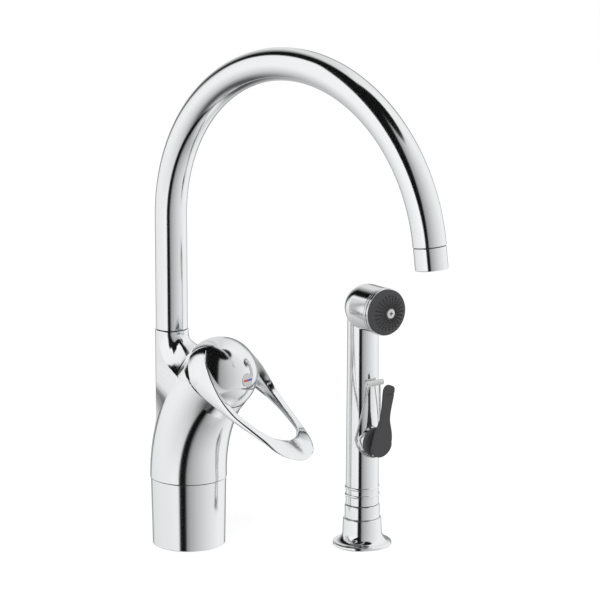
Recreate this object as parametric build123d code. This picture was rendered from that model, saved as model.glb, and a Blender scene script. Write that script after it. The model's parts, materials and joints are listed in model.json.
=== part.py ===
"""Kitchen mixer tap with a swivelling gooseneck spout, a loop lever and a separate side spray.

Millimetres, +Z up. The origin is the centre of the mixer's base on the worktop (z = 0).
-Y is the front, where the spout and the lever point, and +X is to the right seen from there.
"""
from build123d import *
from math import asin, atan2, cos, degrees, pi, radians, sin, sqrt, tan
import os

os.makedirs("parts", exist_ok=True)

# ---------------------------------------------------------------- driving dimensions
# fits
RUN_FIT = 0.05          # radial clearance of a bearing surface that turns or slides
FREE_FIT = 0.4          # clearance between moving surfaces that must not touch
SEAT_FIT = 0.1          # clearance of a fixed piece in its seat
SEAM = 0.6              # thickness of the dark seam gaskets
REACH = 400.0           # side of a cutting block, larger than any piece

# base riser and body
RISER_R_BOTTOM = 25.1
RISER_R_TOP = 26.1
RISER_HEIGHT = 47.5
RISER_WALL = 3.6
BODY_R = 26.6
BEND_START = 50.21      # height where the body starts to lean towards the lever
BEND_R = 105.0
SPIGOT_LENGTH = 29.5
SPIGOT_WALL = 0.3       # gap between the body's spigot and the riser
PORT_R = 5.0            # M10 hose ports
PORT_DEPTH = 12.0
PORT_SPREAD = 9.5
STUD_R = 4.0            # M8 fixing stud hole
STUD_DEPTH = 15.0
STUD_Y = -13.5
SPRAY_PORT_Y = 12.5
PASSAGE_R = 3.2

# spout
TUBE_R = 11.0
TUBE_WALL = 1.5
SPOUT_Y = 15.2          # the spout's turning axis
NECK_TOP = 149.6
NECK_R = 11.5
RIDGE_PROFILE = ((0, 139.3), (9.0, 136.4), (15.5, 128.6), (22.0, 123.2), (32.0, 119.5))  # (x, z)
SOCKET_R = 9.6
SOCKET_DEPTH = 31.0
LEG_TOP = 228.5         # height where the gooseneck's arc starts
ARC_R = 117.5
ARC_ANGLE = 172.2
TAIL = 1.6
SLEEVE_LENGTH = 15.4
SLEEVE_R = 10.8
SLEEVE_WALL = 1.5

# cartridge housing and lever hub: their frame has u down the lever, v across, w up the axis
AXIS_TILT = 42.0        # lean of the cartridge axis from the vertical, towards the front
HUB_Z = 125.5
HOUSING_R = 25.5
HOUSING_TOP = -5.0      # w of the housing's rim
HOUSING_LENGTH = 28.0
CARTRIDGE_R = 17.5
CHAMBER_DEPTH = 25.0    # below the housing's rim
DOME_R = 25.5
DOME_WALL = 2.2
DOME_RIM = -4.6         # w of the dome's lower rim
LIFT = 25.0             # lift of the lever in degrees
COVER_WALL = 1.6
COVER_TOP = 13.0
LEVER_TIP = 88.6        # from the hub centre to the loop's end
LEVER_INNER_TIP = 72.5
STEM_SIZE = 6.8
BALL_ARM = 14.5         # from the stem's pivot down to the ball that pushes the disc
DISC_OFFSET = 3.0       # how far the disc stands back in the closed position
INDICATOR_R = 4.35
INDICATOR_THICK = 1.6

# spray: its own frame faces -y, and stands on the worktop beside the mixer
SPRAY_X = 78.6
SPRAY_Y = -90.6
SPRAY_TURN = -8.8
FLANGE_R = 20.3
FLANGE_THICK = 2.6
CUP_R = 13.5
CUP_TOP = 19.4
HOLDER_BORE_R = 10.4
COLLAR_R = 12.1
COLLAR_TOP = 29.5
HANDLE_R_BOTTOM = 11.45
HANDLE_R_TOP = 10.7
HANDLE_BORE_R = 8.0
BEAD_HEIGHTS = (36.0, 41.3)
BEAD_R = 1.15
HEAD_Z = 169.1
HEAD_R = 16.0
HEAD_BACK = 5.5         # centre of the rounded back, ahead of the handle's axis
HEAD_FRONT = 20.4       # front end of the cast barrel
HEAD_WALL = 2.6
HEAD_JOINT = HEAD_Z - HEAD_R - 0.7  # height where the head sits on the handle
HEAD_SPIGOT = 4.0
HEAD_SPIGOT_R = 9.3
RING_R = 16.4
RING_WIDTH = 1.7
RING_GAP = 0.6
FACE_R = 15.7
FACE_RISE = 3.4         # how far the spray plate bulges at its middle
HOLE_R = 0.45
SCREW_HEAD_R = 2.75

# trigger valve on the handle
VALVE_Z = 75.9
BOSS_ROOT_R = 9.2
BOSS_FRONT_R = 9.9
BOSS_FRONT = 13.0
CAP_R = 10.1
CAP_THICK = 2.9
CAP_FRONT = BOSS_FRONT + CAP_THICK
CAP_SPIGOT = 3.0
VALVE_BORE_R = 5.0
PLUNGER_R = 2.4
PLUNGER_HEAD_R = 4.0
PLUNGER_HEAD = 3.6      # how far out the plunger's inner head reaches
PLUNGER_TIP = 18.4
PIVOT_OUT = CAP_FRONT + 2.0
PIVOT_Z = VALVE_Z - 8.0
PIN_R = 0.9
LUG_R = 1.6
LUG_WIDTH = 2.6
LUG_GAP = 5.2
LUG_PLAY = 0.3
LUG_ROOT = 1.2
TRIGGER_THICK = 3.6
TRIGGER_TIP_Z = 119.0
TRIGGER_SPINE = ((18.1, 66.0), (21.0, 76.0), (23.8, 92.0), (26.6, 106.0), (28.9, TRIGGER_TIP_Z))
SPOON_Z = VALVE_Z + 0.5
SPOON_HALF = 7.2
WAIST_HALF = 3.4
TIP_HALF = 3.8
TIP_NOTCH = 6.3         # the catch groove, below the tip
WIRE_R = 0.6
LOOP_CORNERS = ((11.1, 5.9, 1.6), (11.1, 8.74, -3.9), (4.9, 12.4, -11.0))  # (x, out, above the valve)
WIRE_BENDS = (0.9, 3.0, 8.0, 9.0)
LEG_X = 4.5
ROLLER_R = 2.05
ROLLER_LENGTH = 13.4
ROLLER_Z = 117.3
ROLLER_OUT = 13.2

# inside pieces
# spout
SHANK_R = SOCKET_R - 1.2
GROOVE_Z = NECK_TOP - 20.0
SET_SCREW_R = 2.0
BAND_R = SOCKET_R - RUN_FIT
O_RING_WIRE = 0.9
O_RING_HEIGHTS = (NECK_TOP - 26.5, NECK_TOP - 13.5)
BAND_HEIGHTS = (NECK_TOP - 10.5, NECK_TOP - 0.4)
# cartridge, in the hub's frame
FLOOR_W = HOUSING_TOP - CHAMBER_DEPTH
BASE_TOP_W = FLOOR_W + 5.5
FIXED_TOP_W = BASE_TOP_W + 3.0
MOVING_TOP_W = FIXED_TOP_W + 3.0
CARRIER_TOP_W = MOVING_TOP_W + 6.4
SHELL_TOP_W = HOUSING_TOP - 3.0
SHELL_WALL = 2.0
TURRET_R = 14.6
TOWER_R = 9.0
TOWER_TOP_W = 4.0
NUT_R = 20.4
NUT_LOW = SHELL_TOP_W
NUT_TOP = HOUSING_TOP + 2.4
STEM_PIN_R = 1.6
BALL_R = 2.5
STEM_TOP_W = 19.0
# lever, in the hub's frame
BOSS_LOW_W = 9.0
GRUB_R = 2.4
GRUB_W = 16.0
MARK_DEPTH = 0.4
# spray holder
BUSH_WALL = 1.2
BUSH_LOW = 9.0
# spray handset
PLATE_BACK = HEAD_FRONT + 2 * (RING_WIDTH + RING_GAP)
PLATE_EDGE = 1.6
JET_RINGS = 3
JET_RING_R = 4.8
JET_RING_STEP = 2.8
JET_TURN = 9.0

# ---------------------------------------------------------------- frames
tilt = radians(AXIS_TILT)


def leaning(z):
    """How far the body's centre line leans to the front at a height."""
    rise = min(max(z - BEND_START, 0.0), BEND_R * sin(tilt))
    straight = max(z - BEND_START - BEND_R * sin(tilt), 0.0)
    return BEND_R - sqrt(BEND_R ** 2 - rise ** 2) + straight * tan(tilt)


HUB = Plane(
    origin=(0, -leaning(HUB_Z), HUB_Z),
    x_dir=(0, -cos(tilt), -sin(tilt)),
    z_dir=(0, -sin(tilt), cos(tilt)),
)
SPOUT_AXIS = Location((0, SPOUT_Y, 0))
SPRAY = Location((SPRAY_X, SPRAY_Y, 0), (0, 0, SPRAY_TURN))

pieces = {}


def keep(name, shape):
    """Store a finished piece under its node's name."""
    pieces[name] = shape


# ---------------------------------------------------------------- small helpers
def ring(outer, inner, low, high):
    """A plain ring about Z between two heights."""
    body = Cylinder(outer, high - low, align=(Align.CENTER, Align.CENTER, Align.MIN))
    hole = Cylinder(inner, high - low, align=(Align.CENTER, Align.CENTER, Align.MIN))
    return Pos(0, 0, low) * (body - hole)


def rod(radius, low, high):
    """A plain cylinder about Z between two heights."""
    return Pos(0, 0, low) * Cylinder(radius, high - low, align=(Align.CENTER, Align.CENTER, Align.MIN))


def turned(points):
    """A solid turned about Z from a closed outline of (radius, height) points."""
    outline = Polyline(*[(r, 0, z) for r, z in points], close=True)
    return revolve(make_face(outline), Axis.Z)


def hole_between(start, end, radius):
    """A drilled passage from one point to another."""
    run = Vector(*end) - Vector(*start)
    return Plane(origin=start, z_dir=run) * rod(radius, 0, run.length)


def o_ring(z, ring_r, wire_r):
    """A seal ring about Z, with an eight-sided section."""
    corner = wire_r * tan(pi / 8)
    near, far = ring_r - wire_r, ring_r + wire_r
    return turned([
        (near, z - corner), (ring_r - corner, z - wire_r), (ring_r + corner, z - wire_r), (far, z - corner),
        (far, z + corner), (ring_r + corner, z + wire_r), (ring_r - corner, z + wire_r), (near, z + corner),
    ])


def group(solids):
    """Several like solids that share one node."""
    return Compound(children=list(solids))


def facing_front(shape, out):
    """Turn a piece made about +Z so that it points to the spray's front, and move it out."""
    return Pos(0, -out, 0) * Rot(90, 0, 0) * shape


# ---------------------------------------------------------------- base riser
def base_riser():
    inner = RISER_R_BOTTOM - RISER_WALL
    shape = turned([
        (inner, 0), (RISER_R_BOTTOM - 0.6, 0), (RISER_R_BOTTOM, 0.6),
        (RISER_R_TOP, RISER_HEIGHT - 0.4), (RISER_R_TOP - 0.4, RISER_HEIGHT), (inner, RISER_HEIGHT),
    ])
    groove_mid = RISER_R_BOTTOM - RISER_WALL / 2
    return shape - ring(groove_mid + 0.9, groove_mid - 0.9, 0, 1.4)


def base_gasket():
    groove_mid = RISER_R_BOTTOM - RISER_WALL / 2
    return ring(groove_mid + 0.9 - SEAT_FIT, groove_mid - 0.9 + SEAT_FIT, 0, 1.4)


def seam_gasket():
    inner = RISER_R_BOTTOM - RISER_WALL
    return ring(RISER_R_TOP - 0.9, inner, RISER_HEIGHT, RISER_HEIGHT + SEAM)


# ---------------------------------------------------------------- body casting
def trunk_section(z):
    """Centre y and the half-widths in x and y of the leaning trunk's slice at a height."""
    rise = min(max(z - BEND_START, 0.0), BEND_R * sin(tilt))
    slope = asin(rise / BEND_R)
    half_x = BODY_R + (HOUSING_R - BODY_R) * min(rise / (BEND_R * sin(tilt)), 1.0)
    return -leaning(z), half_x, half_x / cos(slope)


def wall_normal(centre_y, half_x, half_y):
    """Angle of the side wall that is tangent to the trunk's ellipse and to the neck's circle."""
    low, high = 0.0, pi / 2
    for _ in range(40):
        angle = (low + high) / 2
        trunk = centre_y * sin(angle) + sqrt((half_x * cos(angle)) ** 2 + (half_y * sin(angle)) ** 2)
        neck = SPOUT_Y * sin(angle) + NECK_R
        if trunk > neck:
            low = angle
        else:
            high = angle
    return low


def egg(z):
    """Section of the casting: the hull of the trunk's slice and the neck's circle."""
    centre_y, half_x, half_y = trunk_section(z)
    angle = wall_normal(centre_y, half_x, half_y)
    reach = sqrt((half_x * cos(angle)) ** 2 + (half_y * sin(angle)) ** 2)
    front = (half_x ** 2 * cos(angle) / reach, centre_y + half_y ** 2 * sin(angle) / reach, z)
    back = (NECK_R * cos(angle), SPOUT_Y + NECK_R * sin(angle), z)
    front_left = (-front[0], front[1], z)
    back_left = (-back[0], back[1], z)
    past = degrees(atan2((front[1] - centre_y) / half_y, front[0] / half_x))
    bow = EllipticalCenterArc((0, centre_y), half_x, half_y, 180 - past, arc_size=180 + 2 * past)
    return make_face(Wire([
        Pos(0, 0, z) * bow,
        Line(front, back),
        ThreePointArc(back, (0, SPOUT_Y + NECK_R, z), back_left),
        Line(back_left, front_left),
    ]))


def crown():
    """What the casting's top keeps: the round neck and the ridge that joins it to the housing."""
    half = [(x, 0, z) for x, z in RIDGE_PROFILE]
    other = [(-x, 0, z) for x, z in RIDGE_PROFILE[:0:-1]]
    top = Spline(*(other + half))
    width = RIDGE_PROFILE[-1][0]
    floor = Polyline((width, 0, RIDGE_PROFILE[-1][1]), (width, 0, 0), (-width, 0, 0),
                     (-width, 0, RIDGE_PROFILE[-1][1]))
    ridge = extrude(make_face(Wire([top.edge()] + floor.edges())), 120, dir=(0, 1, 0), both=True)
    outline = Wire([
        Line((0, 0, NECK_TOP), (NECK_R - 0.5, 0, NECK_TOP)),
        Line((NECK_R - 0.5, 0, NECK_TOP), (NECK_R, 0, NECK_TOP - 1.0)),
        Line((NECK_R, 0, NECK_TOP - 1.0), (NECK_R, 0, 100.0)),
        Line((NECK_R, 0, 100.0), (0, 0, 100.0)),
        Line((0, 0, 100.0), (0, 0, NECK_TOP)),
    ])
    return ridge + SPOUT_AXIS * revolve(make_face(outline), Axis.Z)


def body_casting():
    bottom = RISER_HEIGHT + SEAM
    bands = 9
    heights = [bottom] + [BEND_START + 4.0 + i * (NECK_TOP - BEND_START - 3.0) / bands for i in range(bands + 1)]
    column = loft([egg(z) for z in heights], ruled=True)
    under_rim = HUB * Pos(0, 0, HOUSING_TOP - REACH / 2) * Box(REACH, REACH, REACH)
    column = column & under_rim & crown()
    housing = HUB * rod(HOUSING_R, HOUSING_TOP - HOUSING_LENGTH, HOUSING_TOP)
    above_seam = Pos(0, 0, bottom + 10 + REACH / 2) * Box(REACH, REACH, REACH)
    spigot = rod(RISER_R_BOTTOM - RISER_WALL - SPIGOT_WALL, bottom - SPIGOT_LENGTH, bottom)
    shape = column + (housing & above_seam) + spigot

    # cartridge chamber, its nut's counterbore and the spout's socket
    chamber_r = CARTRIDGE_R + 2 * SEAT_FIT
    floor = HOUSING_TOP - CHAMBER_DEPTH
    shape -= HUB * rod(chamber_r, floor, HOUSING_TOP)
    shape -= HUB * rod(NUT_R + SEAT_FIT, NUT_LOW, HOUSING_TOP)
    socket_floor = NECK_TOP - SOCKET_DEPTH
    shape -= SPOUT_AXIS * rod(SOCKET_R, socket_floor, NECK_TOP)

    # hose ports, the fixing stud's hole and the water passages
    underside = bottom - SPIGOT_LENGTH
    floor_point = HUB.from_local_coords((0, 0, floor))
    for side in (-1, 1):
        port = (side * PORT_SPREAD, STUD_Y / 4, underside)
        shape -= Pos(*port) * rod(PORT_R, 0, PORT_DEPTH)
        inlet = HUB.from_local_coords((-2.0, side * PORT_SPREAD, floor + 1))
        shape -= hole_between((port[0], port[1], underside + PORT_DEPTH - 1), tuple(inlet), PASSAGE_R)
    shape -= Pos(0, SPRAY_PORT_Y, underside) * rod(PORT_R, 0, PORT_DEPTH)
    shape -= Pos(0, SPRAY_PORT_Y, underside + PORT_DEPTH - 1) * rod(
        PASSAGE_R, 0, socket_floor - underside - PORT_DEPTH + 3)
    shape -= Pos(0, STUD_Y, underside) * rod(STUD_R, 0, STUD_DEPTH)
    mixed = (floor_point.X, floor_point.Y, floor_point.Z)
    shape -= hole_between(mixed, (0, SPOUT_Y, socket_floor + 2), PASSAGE_R)

    # the set screw's hole in the back of the neck
    shape -= Pos(0, SPOUT_Y, GROOVE_Z) * Rot(-90, 0, 0) * rod(SET_SCREW_R, 0, NECK_R + 20)
    return shape


# ---------------------------------------------------------------- spout


def spout_path():
    """Centre line of the gooseneck in the plane of symmetry, from the neck to the aerator."""
    start = (0, SPOUT_Y, NECK_TOP + SEAM)
    arc_start = (0, SPOUT_Y, LEG_TOP)
    end_angle = radians(ARC_ANGLE)

    def on_arc(angle):
        return (0, SPOUT_Y - ARC_R + ARC_R * cos(angle), LEG_TOP + ARC_R * sin(angle))

    arc_end = on_arc(end_angle)
    flow = (0, -sin(end_angle), cos(end_angle))
    outlet = tuple(a + TAIL * b for a, b in zip(arc_end, flow))
    path = Wire([
        Line(start, arc_start),
        ThreePointArc(arc_start, on_arc(end_angle / 2), arc_end),
        Line(arc_end, outlet),
    ])
    return path, outlet, flow


def spout_tube():
    path, _, _ = spout_path()
    foot = Plane(origin=(0, SPOUT_Y, NECK_TOP + SEAM), z_dir=(0, 0, 1))
    outside = sweep(foot * Circle(TUBE_R), path=path)
    inside = sweep(foot * Circle(TUBE_R - TUBE_WALL), path=path)
    return outside - inside


def aerator_frame():
    """Frame at the spout's end, with z along the water."""
    _, outlet, flow = spout_path()
    return Plane(origin=outlet, x_dir=(1, 0, 0), z_dir=flow)


def aerator_sleeve():
    thread_r = TUBE_R - TUBE_WALL - SEAT_FIT
    sleeve = turned([
        (SLEEVE_R - SLEEVE_WALL, SEAM), (SLEEVE_R - 0.5, SEAM), (SLEEVE_R, SEAM + 0.5),
        (SLEEVE_R, SLEEVE_LENGTH - 0.8), (SLEEVE_R - 0.6, SLEEVE_LENGTH),
        (SLEEVE_R - SLEEVE_WALL, SLEEVE_LENGTH),
    ])
    thread = ring(thread_r, thread_r - 1.1, -5.0, SEAM)
    web = ring(SLEEVE_R - 0.7, thread_r - 1.1, SEAM, SEAM + 1.2)
    return aerator_frame() * (sleeve + thread + web)


def aerator_gasket():
    thread_r = TUBE_R - TUBE_WALL
    return aerator_frame() * ring(TUBE_R - 0.7, thread_r, 0, SEAM)


def aerator_insert():
    """The flow straightener: a cup with a grid of small holes."""
    outer = SLEEVE_R - SLEEVE_WALL - SEAT_FIT
    low = SEAM + 1.2 + 2.0
    cup = rod(outer, low, SLEEVE_LENGTH - 1.0)
    cup -= rod(outer - 1.0, SLEEVE_LENGTH - 2.6, SLEEVE_LENGTH)
    holes = [rod(0.7, 0, SLEEVE_LENGTH)]
    for ring_r, count in ((3.0, 6), (6.2, 12)):
        holes += [loc * rod(0.7, 0, SLEEVE_LENGTH) for loc in PolarLocations(ring_r, count)]
    return aerator_frame() * (cup - holes)


def aerator_washer():
    outer = SLEEVE_R - SLEEVE_WALL - SEAT_FIT
    return aerator_frame() * ring(outer, outer - 2.4, SEAM + 1.2, SEAM + 3.2)


def spout_shank():
    """Brass plug in the tube's foot, with the grooves that the neck's rings and screw run in."""
    low = NECK_TOP - SOCKET_DEPTH + 2.0
    top = NECK_TOP + 16.0
    plug = rod(SHANK_R, low, NECK_TOP)
    plug += rod(TUBE_R - TUBE_WALL - SEAT_FIT, NECK_TOP + SEAM, top)
    plug += rod(SHANK_R, NECK_TOP, NECK_TOP + SEAM)
    for z in O_RING_HEIGHTS:
        plug -= ring(SHANK_R + 1, SHANK_R - 0.7, z - O_RING_WIRE - 0.1, z + O_RING_WIRE + 0.1)
    plug -= ring(SHANK_R + 1, SHANK_R - 1.6, GROOVE_Z - 2.6, GROOVE_Z + 2.6)
    plug -= rod(4.5, low - 1, top + 1)
    return SPOUT_AXIS * plug


def spout_o_rings():
    mid = SOCKET_R - RUN_FIT - O_RING_WIRE
    return group([SPOUT_AXIS * o_ring(z, mid, O_RING_WIRE) for z in O_RING_HEIGHTS])


def spout_slide_band():
    return SPOUT_AXIS * ring(BAND_R, SHANK_R + 0.02, BAND_HEIGHTS[0], BAND_HEIGHTS[1])


def neck_washer():
    return SPOUT_AXIS * ring(NECK_R - 1.1, SHANK_R + FREE_FIT, NECK_TOP, NECK_TOP + SEAM)


def neck_set_screw():
    """Hex-socket screw that runs in the shank's groove and keeps the spout in the neck."""
    length = 5.0
    screw = rod(SET_SCREW_R - 0.05, 0, length) - rod(1.0, length - 2.2, length)
    return Pos(0, SPOUT_Y + SHANK_R - 0.6, GROOVE_Z) * Rot(-90, 0, 0) * screw


# ---------------------------------------------------------------- cartridge, in the hub's frame


def cartridge_base():
    base = rod(CARTRIDGE_R, FLOOR_W + SEAT_FIT, BASE_TOP_W)
    for x, y in cartridge_ports():
        base -= Pos(x, y, 0) * rod(PASSAGE_R, FLOOR_W - 1, BASE_TOP_W + 1)
        base -= Pos(x, y, 0) * rod(PASSAGE_R + 1.7, FLOOR_W - 1, FLOOR_W + 1.6)
    return HUB * base


def cartridge_ports():
    """Cold, hot and mixed-water ports in the cartridge's base, as (u, v)."""
    return ((-2.0, -PORT_SPREAD), (-2.0, PORT_SPREAD), (6.0, 0.0))


def cartridge_seals():
    seals = [Pos(x, y, 0) * o_ring(FLOOR_W + 0.85, PASSAGE_R + 0.8, 0.75) for x, y in cartridge_ports()]
    return group([HUB * seal for seal in seals])


def fixed_disc():
    disc = rod(TURRET_R, BASE_TOP_W, FIXED_TOP_W)
    for x, y in cartridge_ports():
        disc -= Pos(x, y, 0) * rod(PASSAGE_R - 0.4, BASE_TOP_W - 1, FIXED_TOP_W + 1)
    return HUB * disc


def moving_disc():
    disc = rod(9.8, FIXED_TOP_W, MOVING_TOP_W)
    disc -= Pos(3.0, 0, 0) * rod(4.2, FIXED_TOP_W - 1, FIXED_TOP_W + 1.8)
    return HUB * Pos(-DISC_OFFSET, 0, 0) * disc


def disc_carrier():
    """Plastic block that holds the moving disc and takes the stem's ball in a cross slot."""
    carrier = rod(9.8, MOVING_TOP_W, CARRIER_TOP_W)
    slot = Pos(0, 0, CARRIER_TOP_W - 2.5) * Box(2 * (BALL_R + FREE_FIT), 2 * (BALL_R + FREE_FIT), 5.0 + 0.2)
    return HUB * Pos(-DISC_OFFSET, 0, 0) * (carrier - slot)


def cartridge_shell():
    inner = CARTRIDGE_R - SHELL_WALL
    shell = ring(CARTRIDGE_R, inner, BASE_TOP_W, SHELL_TOP_W)
    shell += ring(CARTRIDGE_R, TOWER_R + 1.4 + RUN_FIT, SHELL_TOP_W - 2.2, SHELL_TOP_W)
    return HUB * shell


def turret():
    """Turns in the cartridge's shell with the lever and carries the stem's pin."""
    flange_low = CARRIER_TOP_W + FREE_FIT
    flange_top = SHELL_TOP_W - 2.2 - 0.1
    core = rod(CARTRIDGE_R - SHELL_WALL - RUN_FIT, flange_low, flange_top)
    core += rod(TOWER_R + 1.4, flange_top, SHELL_TOP_W)
    core += rod(TOWER_R, SHELL_TOP_W, TOWER_TOP_W)
    half = STEM_SIZE / 2 + FREE_FIT
    slot_back = -half - 4.5
    slot_front = half + 4.5
    slot = Box(slot_front - slot_back, 2 * half, 40)
    core -= slot
    core -= Rot(90, 0, 0) * Cylinder(STEM_PIN_R, 2 * TOWER_R + 2)
    return HUB * core


def stem_pin():
    pin = Rot(90, 0, 0) * Cylinder(STEM_PIN_R, 2 * TOWER_R - 1.6)
    return HUB * pin


def stem_lean():
    """Lean of the stem's lower end at rest, which sets the disc back by its offset."""
    return asin(DISC_OFFSET / BALL_ARM)


def cartridge_stem():
    lean = stem_lean()
    low = Pos(-BALL_ARM * sin(lean), 0, -BALL_ARM * cos(lean)) * Sphere(BALL_R)
    foot = Plane(origin=(0, 0, 0), x_dir=(cos(lean), 0, -sin(lean)), z_dir=(-sin(lean), 0, -cos(lean)))
    neck = foot * rod(1.9, 0, BALL_ARM)
    bar = Pos(0, 0, STEM_TOP_W / 2 - 2.5) * Box(STEM_SIZE, STEM_SIZE, STEM_TOP_W + 5.0)
    stem = low + neck + bar
    stem -= Rot(90, 0, 0) * Cylinder(STEM_PIN_R + RUN_FIT, STEM_SIZE + 2)
    return HUB * stem


def cartridge_nut():
    nut = ring(NUT_R, 15.0, NUT_LOW, NUT_TOP)
    for loc in PolarLocations(NUT_R - 1.4, 4):
        nut -= loc * Pos(0, 0, NUT_TOP) * Box(4, 3, 2.4)
    return HUB * nut


def cover_ring():
    """Chrome ring with a ball-shaped outside that the lever's dome slides over."""
    outer = DOME_R - DOME_WALL - FREE_FIT
    ball = Sphere(outer) - Sphere(outer - COVER_WALL)
    keep_low = Pos(0, 0, (HOUSING_TOP + COVER_TOP) / 2) * Box(80, 80, COVER_TOP - HOUSING_TOP)
    return HUB * (ball & keep_low)


# ---------------------------------------------------------------- lever, in the hub's frame
def side_profile(points):
    """Closed side outline in the u-w plane, extruded right across the lever."""
    outline = make_face(Wire(points))
    return extrude(outline, 40, both=True)


def lever_loop():
    """The loop: plan outline with its opening, cut to the side view's upper and lower curves."""
    start_u = -6.0
    start_v = sqrt(DOME_R ** 2 - start_u ** 2)
    right = Spline((start_u, start_v), (20, 27.0), (48, 23.6), (72, 18.4), (LEVER_TIP, 0),
                   tangents=[(start_v, -start_u), (0, -1)])
    left = right.mirror(Plane.XZ)
    back = Line((start_u, -start_v), (start_u, start_v))
    plan = make_face(Wire([right.edge(), left.edge(), back]))
    hole_right = Spline((8, 21.2), (30, 21.6), (44, 19.4), (59, 15.8), (LEVER_INNER_TIP, 0),
                        tangents=[(1, 0.1), (0, -1)])
    hole_left = hole_right.mirror(Plane.XZ)
    hole_back = Line((8, -21.2), (8, 21.2))
    hole = make_face(Wire([hole_right.edge(), hole_left.edge(), hole_back]))
    band = extrude(plan - hole, 60, both=True)

    def at(u, w):
        return (u, 0, w)

    top = Spline(at(-7, 4.0), at(-1, 11.0), at(8, 13.2), at(28, 11.0), at(46, 12.8), at(70, 17.3), at(92, 20.8))
    low = Spline(at(92, 18.6), at(76, 15.8), at(48, 8.6), at(26, 2.8), at(10, -3.0), at(-7, -9.0))
    side = side_profile([
        top.edge(), Line(at(92, 20.8), at(92, 18.6)), low.edge(), Line(at(-7, -9.0), at(-7, 4.0)),
    ])
    return band & side


def above_rim():
    """Space above the dome's rim: level in front, and rising to the back so that the lever can lift."""
    level = Pos(0, 0, DOME_RIM + REACH / 2) * Box(REACH, REACH, REACH)
    back_cut = Pos(0, 0, DOME_RIM) * Rot(0, LIFT, 0) * Pos(0, 0, REACH / 2) * Box(REACH, REACH, REACH)
    return level & back_cut


def lever_handle():
    inner_r = DOME_R - DOME_WALL
    shape = (lever_loop() + Sphere(DOME_R)) & above_rim()
    shape -= Sphere(inner_r)
    socket = Pos(0, 0, (BOSS_LOW_W + 30) / 2) * Box(STEM_SIZE + 7, STEM_SIZE + 7, 30 - BOSS_LOW_W)
    shape += socket & Sphere(DOME_R - 0.5)
    shape -= Pos(0, 0, STEM_TOP_W / 2) * Box(STEM_SIZE + 2 * SEAT_FIT, STEM_SIZE + 2 * SEAT_FIT, STEM_TOP_W + 0.4)
    front = indicator_frame()
    shape -= front * rod(INDICATOR_R + SEAT_FIT, -INDICATOR_THICK, 10)
    shape -= Pos(0, 0, GRUB_W) * Rot(0, 90, 0) * rod(GRUB_R + 0.05, 0, 40)
    return HUB * shape


def indicator_frame():
    """Frame on the dome's front, with z straight out of it."""
    return Plane(
        origin=(DOME_R * cos(tilt), 0, DOME_R * sin(tilt)),
        x_dir=(0, 1, 0),
        z_dir=(cos(tilt), 0, sin(tilt)),
    )


def indicator_disc():
    disc = rod(INDICATOR_R, -INDICATOR_THICK, 0.5)
    disc -= Pos(0, 0, 0.5) * Box(2 * INDICATOR_R - 1.0, 1.5, 2 * MARK_DEPTH)
    return HUB * indicator_frame() * disc


def indicator_mark(side):
    length = INDICATOR_R - 0.6
    mark = Box(length, 1.4, MARK_DEPTH, align=(Align.MIN, Align.CENTER, Align.MAX))
    if side < 0:
        mark = Rot(0, 0, 180) * mark
    return HUB * indicator_frame() * Pos(0, 0, 0.5) * mark


def lever_grub_screw():
    screw = rod(GRUB_R, 0, 6.0) - extrude(RegularPolygon(1.3, 6), 8.0, both=False).moved(Location((0, 0, 3.4)))
    return HUB * Pos(STEM_SIZE / 2 + 0.05, 0, GRUB_W) * Rot(0, 90, 0) * screw


# ---------------------------------------------------------------- spray holder


def holder_flange():
    fillet_start = 8.5
    curve = Spline((CUP_R, 0, fillet_start), (CUP_R + 2.2, 0, 4.6), (FLANGE_R - 0.8, 0, FLANGE_THICK),
                   tangents=[(0.05, 0, -1), (1, 0, -0.08)])
    outline = Wire([
        Line((HOLDER_BORE_R, 0, 0), (FLANGE_R - 0.5, 0, 0)),
        Line((FLANGE_R - 0.5, 0, 0), (FLANGE_R, 0, 0.5)),
        Line((FLANGE_R, 0, 0.5), (FLANGE_R, 0, FLANGE_THICK - 0.6)),
        Line((FLANGE_R, 0, FLANGE_THICK - 0.6), (FLANGE_R - 0.8, 0, FLANGE_THICK)),
        curve.edge(),
        Line((CUP_R, 0, fillet_start), (CUP_R - 0.3, 0, CUP_TOP - 0.6)),
        Line((CUP_R - 0.3, 0, CUP_TOP - 0.6), (CUP_R - 0.9, 0, CUP_TOP)),
        Line((CUP_R - 0.9, 0, CUP_TOP), (HOLDER_BORE_R, 0, CUP_TOP)),
        Line((HOLDER_BORE_R, 0, CUP_TOP), (HOLDER_BORE_R, 0, 0)),
    ])
    flange = revolve(make_face(outline), Axis.Z)
    return SPRAY * (flange - ring(FLANGE_R - 2.0, FLANGE_R - 4.0, 0, 1.2))


def holder_gasket():
    return SPRAY * ring(FLANGE_R - 2.0 - SEAT_FIT, FLANGE_R - 4.0 + SEAT_FIT, 0, 1.2)


def holder_bush():
    """Plastic liner that the spray's foot drops into; it turns in the holder with the spray."""
    outer = HOLDER_BORE_R - RUN_FIT
    return SPRAY * ring(outer, outer - BUSH_WALL, BUSH_LOW, CUP_TOP - 0.3)


# ---------------------------------------------------------------- spray handset
def handle_radius(z):
    share = (z - COLLAR_TOP) / (HEAD_Z - COLLAR_TOP)
    return HANDLE_R_BOTTOM + (HANDLE_R_TOP - HANDLE_R_BOTTOM) * share


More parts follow.
